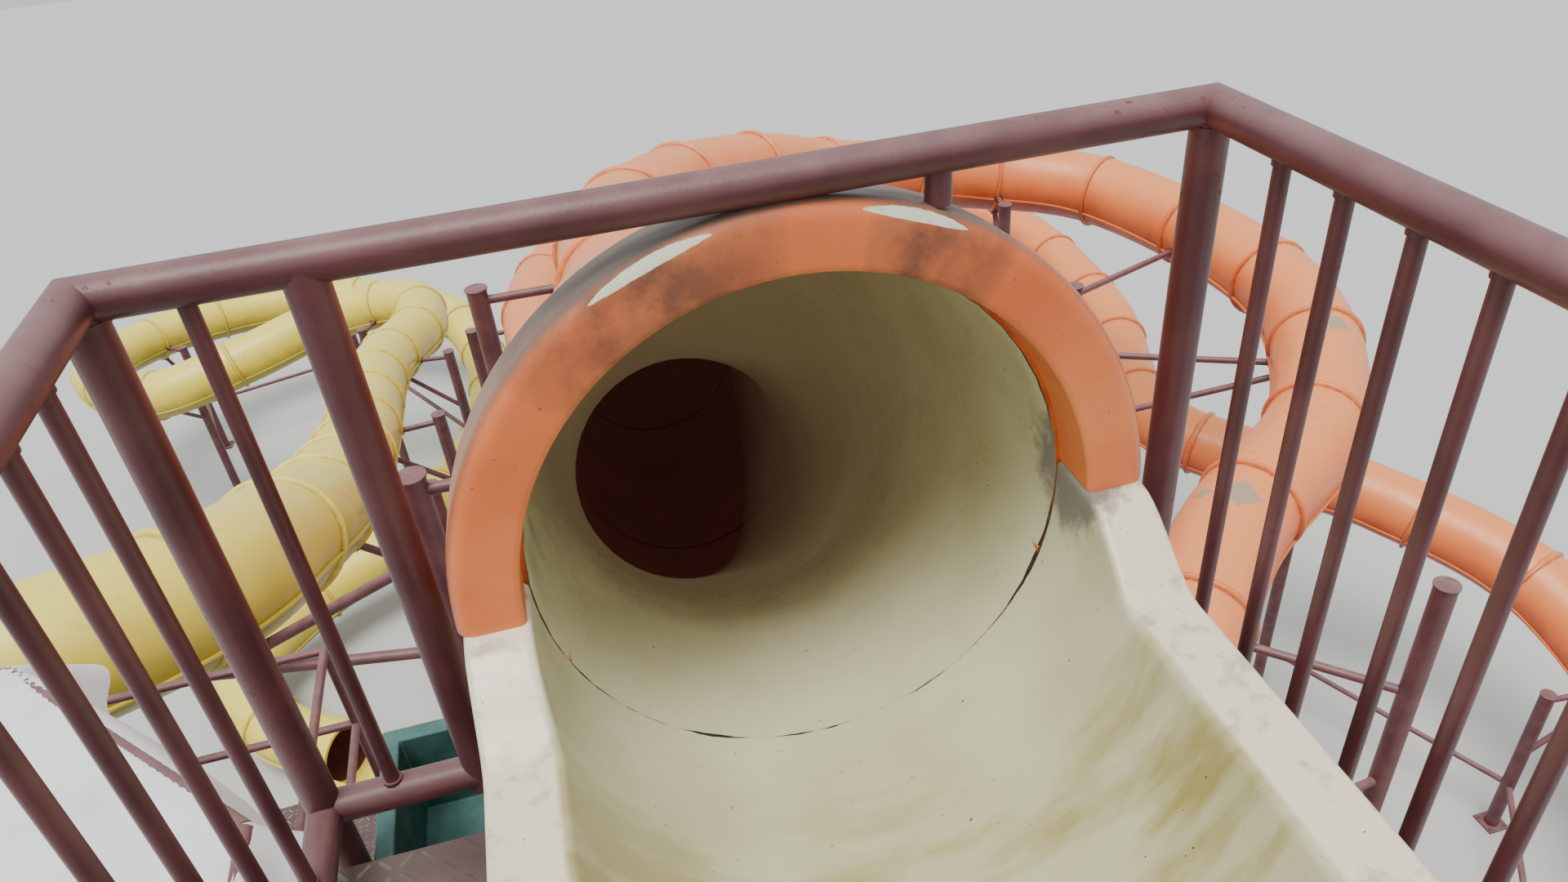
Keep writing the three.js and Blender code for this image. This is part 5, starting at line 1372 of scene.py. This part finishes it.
# %% [markdown]
# ## Start tub and open channels
# The tub is an open half tube with flat rims that rise in an easy curve to meet the hood. Its section is
# drawn once for a rim height, with eased corners that round the rims as the mould did, pushed back along
# the deck, and the last section lies in the leaning plane of the joint.

# %% Channels
CHANNEL_BORE, CHANNEL_OUT, RIM_OUT, RIM_T, RIM_DROP = 0.458, 0.470, 0.562, 0.03, 0.105
ARC_STEPS = 40


def eased(before, corner, after, radius, steps=4):
    """A corner between two neighbours, eased by a short curve."""
    before, corner, after = Vector(before), Vector(corner), Vector(after)
    start = corner + (before - corner).normalized() * radius
    end = corner + (after - corner).normalized() * radius
    curve = [i / steps for i in range(steps + 1)]
    return [tuple(start.lerp(corner, t).lerp(corner.lerp(end, t), t)) for t in curve]


def channel_section(rim):
    """A half tube's wall in X and Z: the inside from rim to rim, and the outside back again."""
    inner = math.asin(-rim / CHANNEL_BORE)
    outer = math.asin((RIM_T + 0.02 - rim) / CHANNEL_OUT)
    spans = [math.pi + inner + (math.pi - 2 * inner) * i / ARC_STEPS for i in range(1, ARC_STEPS)]
    bowl = [(CHANNEL_BORE * math.cos(a), CHANNEL_BORE * math.sin(a)) for a in spans]
    spans = [-outer - (math.pi - 2 * outer) * i / ARC_STEPS for i in range(1, ARC_STEPS)]
    belly = [(CHANNEL_OUT * math.cos(a), CHANNEL_OUT * math.sin(a)) for a in spans]
    lip_in = (CHANNEL_BORE * math.cos(inner), rim)
    lip, edge = (RIM_OUT, rim), (RIM_OUT, rim - RIM_T)
    under = (CHANNEL_OUT * math.cos(outer), rim - RIM_T - 0.01)

    def left(points):
        return [(-x, z) for x, z in reversed(points)]

    inside = eased(bowl[-1], lip_in, lip, 0.014) + eased(lip_in, lip, edge, 0.011)
    outside = eased(lip, edge, under, 0.009) + eased(edge, under, belly[0], 0.006)
    return left(inside) + bowl + inside + outside + belly + left(outside)


def pushed(origin, ahead, outlines, finish, paired=False):
    """A skin through outlines in X and Z, each at its distance along a level line."""
    ahead = Vector(ahead).normalized()
    side = Vector((ahead.y, -ahead.x, 0))
    sections = [[Vector(origin) + ahead * s + side * x + Vector((0, 0, h)) for x, h in drawn]
                for s, drawn in outlines]
    return skin(sections, finish, paired=paired)


def channel(origin, ahead, stations, finish):
    """A channel through distances along a level line, each with its rim height."""
    return pushed(origin, ahead, [(s, channel_section(rim)) for s, rim in stations], finish, paired=True)


def end_wall(origin, ahead, finish, thick=0.014):
    """The flat wall that closes a channel's end."""
    low = math.asin(RIM_DROP / CHANNEL_BORE)
    arc = [math.pi + low + (math.pi - 2 * low) * i / ARC_STEPS for i in range(ARC_STEPS + 1)]
    drawn = [((CHANNEL_BORE + 0.004) * math.cos(a), (CHANNEL_BORE + 0.004) * math.sin(a)) for a in arc]
    return pushed(origin, ahead, [(0, drawn), (thick, drawn)], finish)


def cradle(origin, ahead, length, depth, finish):
    """The saddle under a channel, between the deck and its belly."""
    half = 0.15
    xs = [-half + 2 * half * i / 8 for i in range(9)]
    drawn = [(x, -math.sqrt((CHANNEL_OUT - 0.003) ** 2 - x * x)) for x in xs]
    drawn += [(half, -depth), (-half, -depth)]
    return pushed(origin, ahead, [(0, drawn), (length, drawn)], finish)


print("channel section of", len(channel_section(0)), "points")

# %% Start tub
TUB_BACK = -1.05
TO_DECK = MOUTH_Z - DECK - 0.0003


def tub_rim(y, rise=0.2):
    t = min(max((y + rise) / rise, 0), 1)
    return -RIM_DROP * (1 - t * t * (3 - 2 * t))


def tub_sections():
    sections = []
    for y in [TUB_BACK, -0.6, -0.3, *[-0.2 + 0.02 * i for i in range(11)]]:
        sections.append([(x, y, MOUTH_Z + h) for x, h in channel_section(tub_rim(y))])
    lean = math.tan(SEAM_LEAN)
    joint = SEAM_PLACE.y + SEAM_PLACE.z * lean - 0.001
    sections.append([(x, joint + h * lean, MOUTH_Z + h) for x, h in channel_section(0)])
    return sections


tub_end = (0, TUB_BACK, MOUTH_Z)
tub_meshes = [skin(tub_sections(), cream, paired=True), end_wall(tub_end, (0, 1, 0), cream),
              cradle(tub_end, (0, 1, 0), 1.09, TO_DECK, cream)]
tub = piece("start_tub_moulded", tub_meshes, "tub", "start_tub")
print("tub", len(tub.data.polygons), "faces")

# %% [markdown]
# ## Hood
# The hood is a half ring of channel section, moulded with a soft nose and open behind. Its profile is
# drawn as radius and depth and turned round the mouth from rim to rim, in a plane that leans with the
# first tube. Each profile point starts just over the rims, so that the feet are cut level.

# %% Hood
HOOD_DEPTH, HOOD_WALL = 0.11, 0.012
HOOD_STEPS = 72


def hood_profile():
    """Radius and depth round the hood's section: a rounded nose, two walls and the hollow behind."""
    nose = []
    for centre, radius, start, end in [(HOOD_OUT - 0.03, 0.03, 0, 90), (HOOD_IN + 0.012, 0.012, 90, 180)]:
        for i in range(7):
            a = math.radians(start + (end - start) * i / 6)
            nose.append((centre + radius * math.cos(a), radius - radius * math.sin(a)))
    back = HOOD_DEPTH
    hollow = [(HOOD_IN, back), (HOOD_IN + HOOD_WALL, back), (HOOD_IN + HOOD_WALL, 0.02),
              (HOOD_IN + 0.02, HOOD_WALL), (HOOD_OUT - 0.035, HOOD_WALL), (HOOD_OUT - HOOD_WALL, 0.035),
              (HOOD_OUT - HOOD_WALL, back), (HOOD_OUT, back)]
    return nose + hollow


def hood_mesh():
    lean_c, lean_s = math.cos(SEAM_LEAN), math.sin(SEAM_LEAN)
    sections = []
    for i in range(HOOD_STEPS + 1):
        section = []
        for radius, depth in hood_profile():
            first = math.asin((0.0003 + depth * lean_s) / lean_c / radius)
            a = first + (math.pi - 2 * first) * i / HOOD_STEPS
            h = radius * math.sin(a)
            section.append((radius * math.cos(a), depth * lean_c + h * lean_s,
                            MOUTH_Z - depth * lean_s + h * lean_c))
        sections.append(section)
    return skin(sections, hood_finish)


hood = piece("entry_hood_moulded", [hood_mesh()], "hood", "entry_hood", sharp=50)
print("hood", len(hood.data.polygons), "faces")

# %% [markdown]
# ## Yellow start and the two run-outs
# The yellow flume starts from an open trough with level rims that meets the first tube. The run-outs are
# the same channel, level near the ground on two flat feet, where riders come to a stop.

# %% Troughs
TROUGH = 1.2
FOOT_HALF = 0.35
yellow_start = Vector((*YELLOW_ROUTE[0][:2], LOWER_DECK + 0.48))
trough_back = yellow_start - Vector((TROUGH, 0, 0))
trough_meshes = [channel(trough_back, (1, 0, 0), [(0, -RIM_DROP), (TROUGH - 0.001, -RIM_DROP)], yellow),
                 end_wall(trough_back, (1, 0, 0), yellow),
                 cradle(trough_back, (1, 0, 0), 1.14, TO_DECK, yellow)]
piece("yellow_start_trough_moulded", trough_meshes, "yellow", "yellow_start_trough")


def run_out(name, length, finish):
    route = ROUTES[name]
    end = route.place(route.length)
    ahead = route.axes(route.length)[0]
    ahead = Vector((ahead.x, ahead.y, 0)).normalized()
    meshes = [channel(end, ahead, [(0.0008, -RIM_DROP), (length, -RIM_DROP)], finish)]
    for share in (0.25, 0.85):
        at = end + ahead * (share * (length + 0.3) - 0.3)
        xs = [-FOOT_HALF + 2 * FOOT_HALF * i / 16 for i in range(17)]
        drawn = [(x, at.z - math.sqrt(CHANNEL_OUT ** 2 - x * x)) for x in xs]
        drawn += [(FOOT_HALF, 0), (-FOOT_HALF, 0)]
        meshes.append(pushed((at.x, at.y, 0), ahead, [(-0.06, drawn), (0.06, drawn)], finish))
    return piece(name + "_run_out_moulded", meshes, name, name + "_run_out")


run_out("orange", 4.0, orange)
run_out("yellow", 3.0, yellow)
print("troughs done,", len(MADE), "pieces so far")

# %% [markdown]
# ## Valve box
# A teal box hangs on the face of the deck beam beside the tub, open on top. It is board, painted with a
# brush and rubbed paler in places, so it is rough and hardly shines.

# %% Valve box


def painted_board():
    made, tree, surface, place = finish_named("teal_painted_board", Roughness=0.6, IOR=1.5)
    worn = cloudy(tree, place, 71.4, (0.4, 0), (0.7, 1), detail=5)
    grain = cloudy(tree, place, 16.667)
    wire(tree, surface, {
        "Base Color": coats(tree, 0x3F6E69, (worn, 0x5E8A84)),
        "Normal": add(tree, "ShaderNodeBump", {"Height": grain, "Strength": 0.2, "Distance": 0.001})})
    return made


teal = painted_board()
BOX = (-0.85, -0.6, DECK_FRONT + 0.0003, 0.4, DECK - 0.31, DECK - 0.06)


def open_box(x0, x1, y0, y1, z0, z1, wall, finish):
    def loop(inset, z):
        return [(x0 + inset, y0 + inset, z), (x1 - inset, y0 + inset, z), (x1 - inset, y1 - inset, z),
                (x0 + inset, y1 - inset, z)]
    return skin([loop(0, z0), loop(0, z1), loop(wall, z1), loop(wall, z0 + wall)], finish)


valve_box = piece("valve_box_walls", [open_box(*BOX, 0.035, teal)], "teal", "valve_box")
bevelled(valve_box, 0.004, 2)
print("valve box done")

# %% [markdown]
# ## Canopy
# A canopy shades the lower deck. Its frame is painted pipe on four posts, with the corner at the front
# right cut off.

# %% Canopy frame
CANOPY_X, CANOPY_Y, CANOPY_Z = (-6.1, -1.3), (-0.7, 1.8), LOWER_DECK + 2.23
CORNER = 1.3
CANOPY_PIPE = 0.06
CUT_X, CUT_Y = -2.2, 0.8
(x0, x1), (y0, y1) = CANOPY_X, CANOPY_Y
left_x, middle_x, side_x, right_x = x0 + 0.1, (x0 + x1) / 2, LOWER_RIGHT - 0.12, x1 - 0.09
near_y, back_y, front_y = y0 + 0.06, LOWER_BACK + 0.12, y1 - 0.15
side_end = front_y + (CUT_Y - front_y) * (side_x - CUT_X) / (right_x - CUT_X)
FRAME_LINES = [((x0 + 0.06, near_y), (x1 - 0.06, near_y)), ((x0 + 0.06, back_y), (x1 - 0.06, back_y)),
               ((x0 + 0.06, front_y), (CUT_X, front_y)), ((left_x, near_y), (left_x, front_y)),
               ((middle_x, near_y), (middle_x, front_y)), ((side_x, near_y), (side_x, side_end)),
               ((right_x, near_y), (right_x, CUT_Y)), ((CUT_X, front_y), (right_x, CUT_Y))]
frame_z = CANOPY_Z - CANOPY_PIPE / 2
runs = [bar((x, y, LOWER_DECK), (x, y, frame_z), CANOPY_PIPE)
        for x, y in [(left_x, back_y), (side_x, back_y), (left_x, front_y), (CUT_X, front_y)]]
runs += [bar((*a, frame_z), (*b, frame_z), CANOPY_PIPE) for a, b in FRAME_LINES]
piece("canopy_frame_pipes", [pipes(runs, sides=16)], "steel", "canopy_frame")
print("canopy frame of", len(runs), "pipes")

# %% [markdown]
# ### Tarpaulin
# The white cloth is coated on both sides, smooth but not glossy, and grey where dust has dried on it.
# Its weave has threads about 1 mm apart. That is too fine to show here, so it is drawn every 4 mm. The
# cloth starts as a flat grid, larger than the frame by an edge that hangs down, and points past the
# round corner are drawn back onto it. It is held where it lies on a pipe, and gravity does the rest, so
# that it sags between the pipes and its edge falls in folds.

# %% Tarpaulin


THREAD_PITCH = 0.004


def tarpaulin():
    made, tree, surface, place = finish_named("white_coated_tarpaulin", Roughness=0.55, IOR=1.45)
    grimy = cloudy(tree, place, 556, (0.5, 0), (0.75, 0.5), detail=5)
    parts = add(tree, "ShaderNodeSeparateXYZ", [place])
    turned = [add(tree, "ShaderNodeMath", [parts.outputs[axis], 2 * math.pi / THREAD_PITCH],
                  operation="MULTIPLY") for axis in "XY"]
    threads = [add(tree, "ShaderNodeMath", [turn], operation="SINE") for turn in turned]
    weave = add(tree, "ShaderNodeMath", threads, operation="MULTIPLY")
    wire(tree, surface, {
        "Base Color": coats(tree, 0xF1F3F4, (grimy, 0xC9C7B4)),
        "Normal": add(tree, "ShaderNodeBump", {"Height": weave, "Strength": 0.15, "Distance": 0.0004})})
    return made


tarp = tarpaulin()
print("cloth finish", tarp.name)

# %% Cut cloth
CELL = 0.05
HANG = 0.28
FALL_FRAMES = 35
CLOTH = {"quality": 6, "mass": 0.5, "tension_stiffness": 40, "compression_stiffness": 40,
         "shear_stiffness": 10, "bending_stiffness": 0.8}


def tarp_start():
    """A flat grid of the cloth, its corner cut round."""
    columns = round((x1 - x0 + 2 * HANG) / CELL)
    lines = round((y1 - y0 + 2 * HANG) / CELL)
    middle, reach = Vector((x1 - CORNER, y1 - CORNER)), CORNER + HANG
    built = bmesh.new()
    grid = {}
    for i in range(columns + 1):
        for j in range(lines + 1):
            spot = Vector((x0 - HANG + CELL * i, y0 - HANG + CELL * j))
            off = spot - middle
            if off.x > 0 and off.y > 0 and off.length > reach:
                if off.length > reach + 0.7 * CELL:
                    continue
                spot = middle + off.normalized() * reach
            grid[i, j] = built.verts.new(moved((*spot, CANOPY_Z + 0.004)))
    for i in range(columns):
        for j in range(lines):
            corners = [(i, j), (i + 1, j), (i + 1, j + 1), (i, j + 1)]
            kept = [grid[corner] for corner in corners if corner in grid]
            if len(kept) > 2:
                built.faces.new(kept)
    bmesh.ops.delete(built, geom=[v for v in built.verts if not v.link_faces], context="VERTS")
    mesh = bpy.data.meshes.new("tarp")
    built.to_mesh(mesh)
    built.free()
    mesh.materials.append(tarp)
    return mesh


# %% Hung cloth


def on_pipe(point):
    """True where the cloth lies on a pipe of the frame."""
    spot = Vector((point.x - ORIGIN.x, point.y - ORIGIN.y))
    for a, b in FRAME_LINES:
        a, b = Vector(a), Vector(b)
        share = min(max((spot - a).dot(b - a) / (b - a).length_squared, 0), 1)
        if (spot - a.lerp(b, share)).length < CANOPY_PIPE / 2:
            return True
    return False


def hang_cloth(mesh):
    """Lets the cloth fall for a while, held where it lies on the pipes, and keeps the result."""
    holder = bpy.data.objects.new("tarp", mesh)
    bpy.context.scene.collection.objects.link(holder)
    held = holder.vertex_groups.new(name="held")
    held.add([v.index for v in mesh.vertices if on_pipe(v.co)], 1.0, "REPLACE")
    cloth = holder.modifiers.new("cloth", "CLOTH")
    cloth.settings.vertex_group_mass = "held"
    for name, value in CLOTH.items():
        setattr(cloth.settings, name, value)
    cloth.collision_settings.use_collision = False
    cloth.collision_settings.use_self_collision = False
    scene = bpy.context.scene
    for step in range(FALL_FRAMES):
        scene.frame_set(step + 1)
    ready = holder.evaluated_get(bpy.context.evaluated_depsgraph_get())
    result = bpy.data.meshes.new_from_object(ready)
    holder.modifiers.remove(cloth)
    bpy.data.objects.remove(holder)
    scene.frame_set(1)
    return result


cloth_mesh = hang_cloth(tarp_start())
canopy = piece("canopy_tarpaulin", [cloth_mesh], "tarp", "canopy", sharp=180)
canopy.modifiers.new("smooth", "SUBSURF").levels = 1
canopy.modifiers["smooth"].render_levels = 1

# %% [markdown]
# ## Floor and light
# The floor is plain and pale. The light is that of an overcast noon: a bright even sky and a broad soft
# sun from nearly overhead, which gives the tubes their light tops.

# %% Floor and light
FLOOR_SIDE = 160
floor_mesh = bpy.data.meshes.new("floor")
half = FLOOR_SIDE / 2
floor_mesh.from_pydata([(-half, -half, 0), (half, -half, 0), (half, half, 0), (-half, half, 0)], [],
                       [(0, 1, 2, 3)])
paper = finish_named("pale_backdrop", Base_Color=linear(0xC9CBC8), Roughness=0.9)[0]
floor_mesh.materials.append(paper)
floor = bpy.data.objects.new("floor", floor_mesh)
floor.location.z = -0.002
bpy.context.scene.collection.objects.link(floor)
sun_data = bpy.data.lights.new("sun", "SUN")
sun_data.energy = 2.9
sun_data.angle = math.radians(35)
sun_data.color = (1.0, 0.98, 0.95)
sun = bpy.data.objects.new("sun", sun_data)
sun.rotation_euler = (math.radians(14), math.radians(-12), 0)
bpy.context.scene.collection.objects.link(sun)
world = bpy.data.worlds.new("sky")
bpy.context.scene.world = world
world.use_nodes = True
world.node_tree.nodes["Background"].inputs["Color"].default_value = linear(0xE8EEF2)
world.node_tree.nodes["Background"].inputs["Strength"].default_value = 0.95
print("light set")
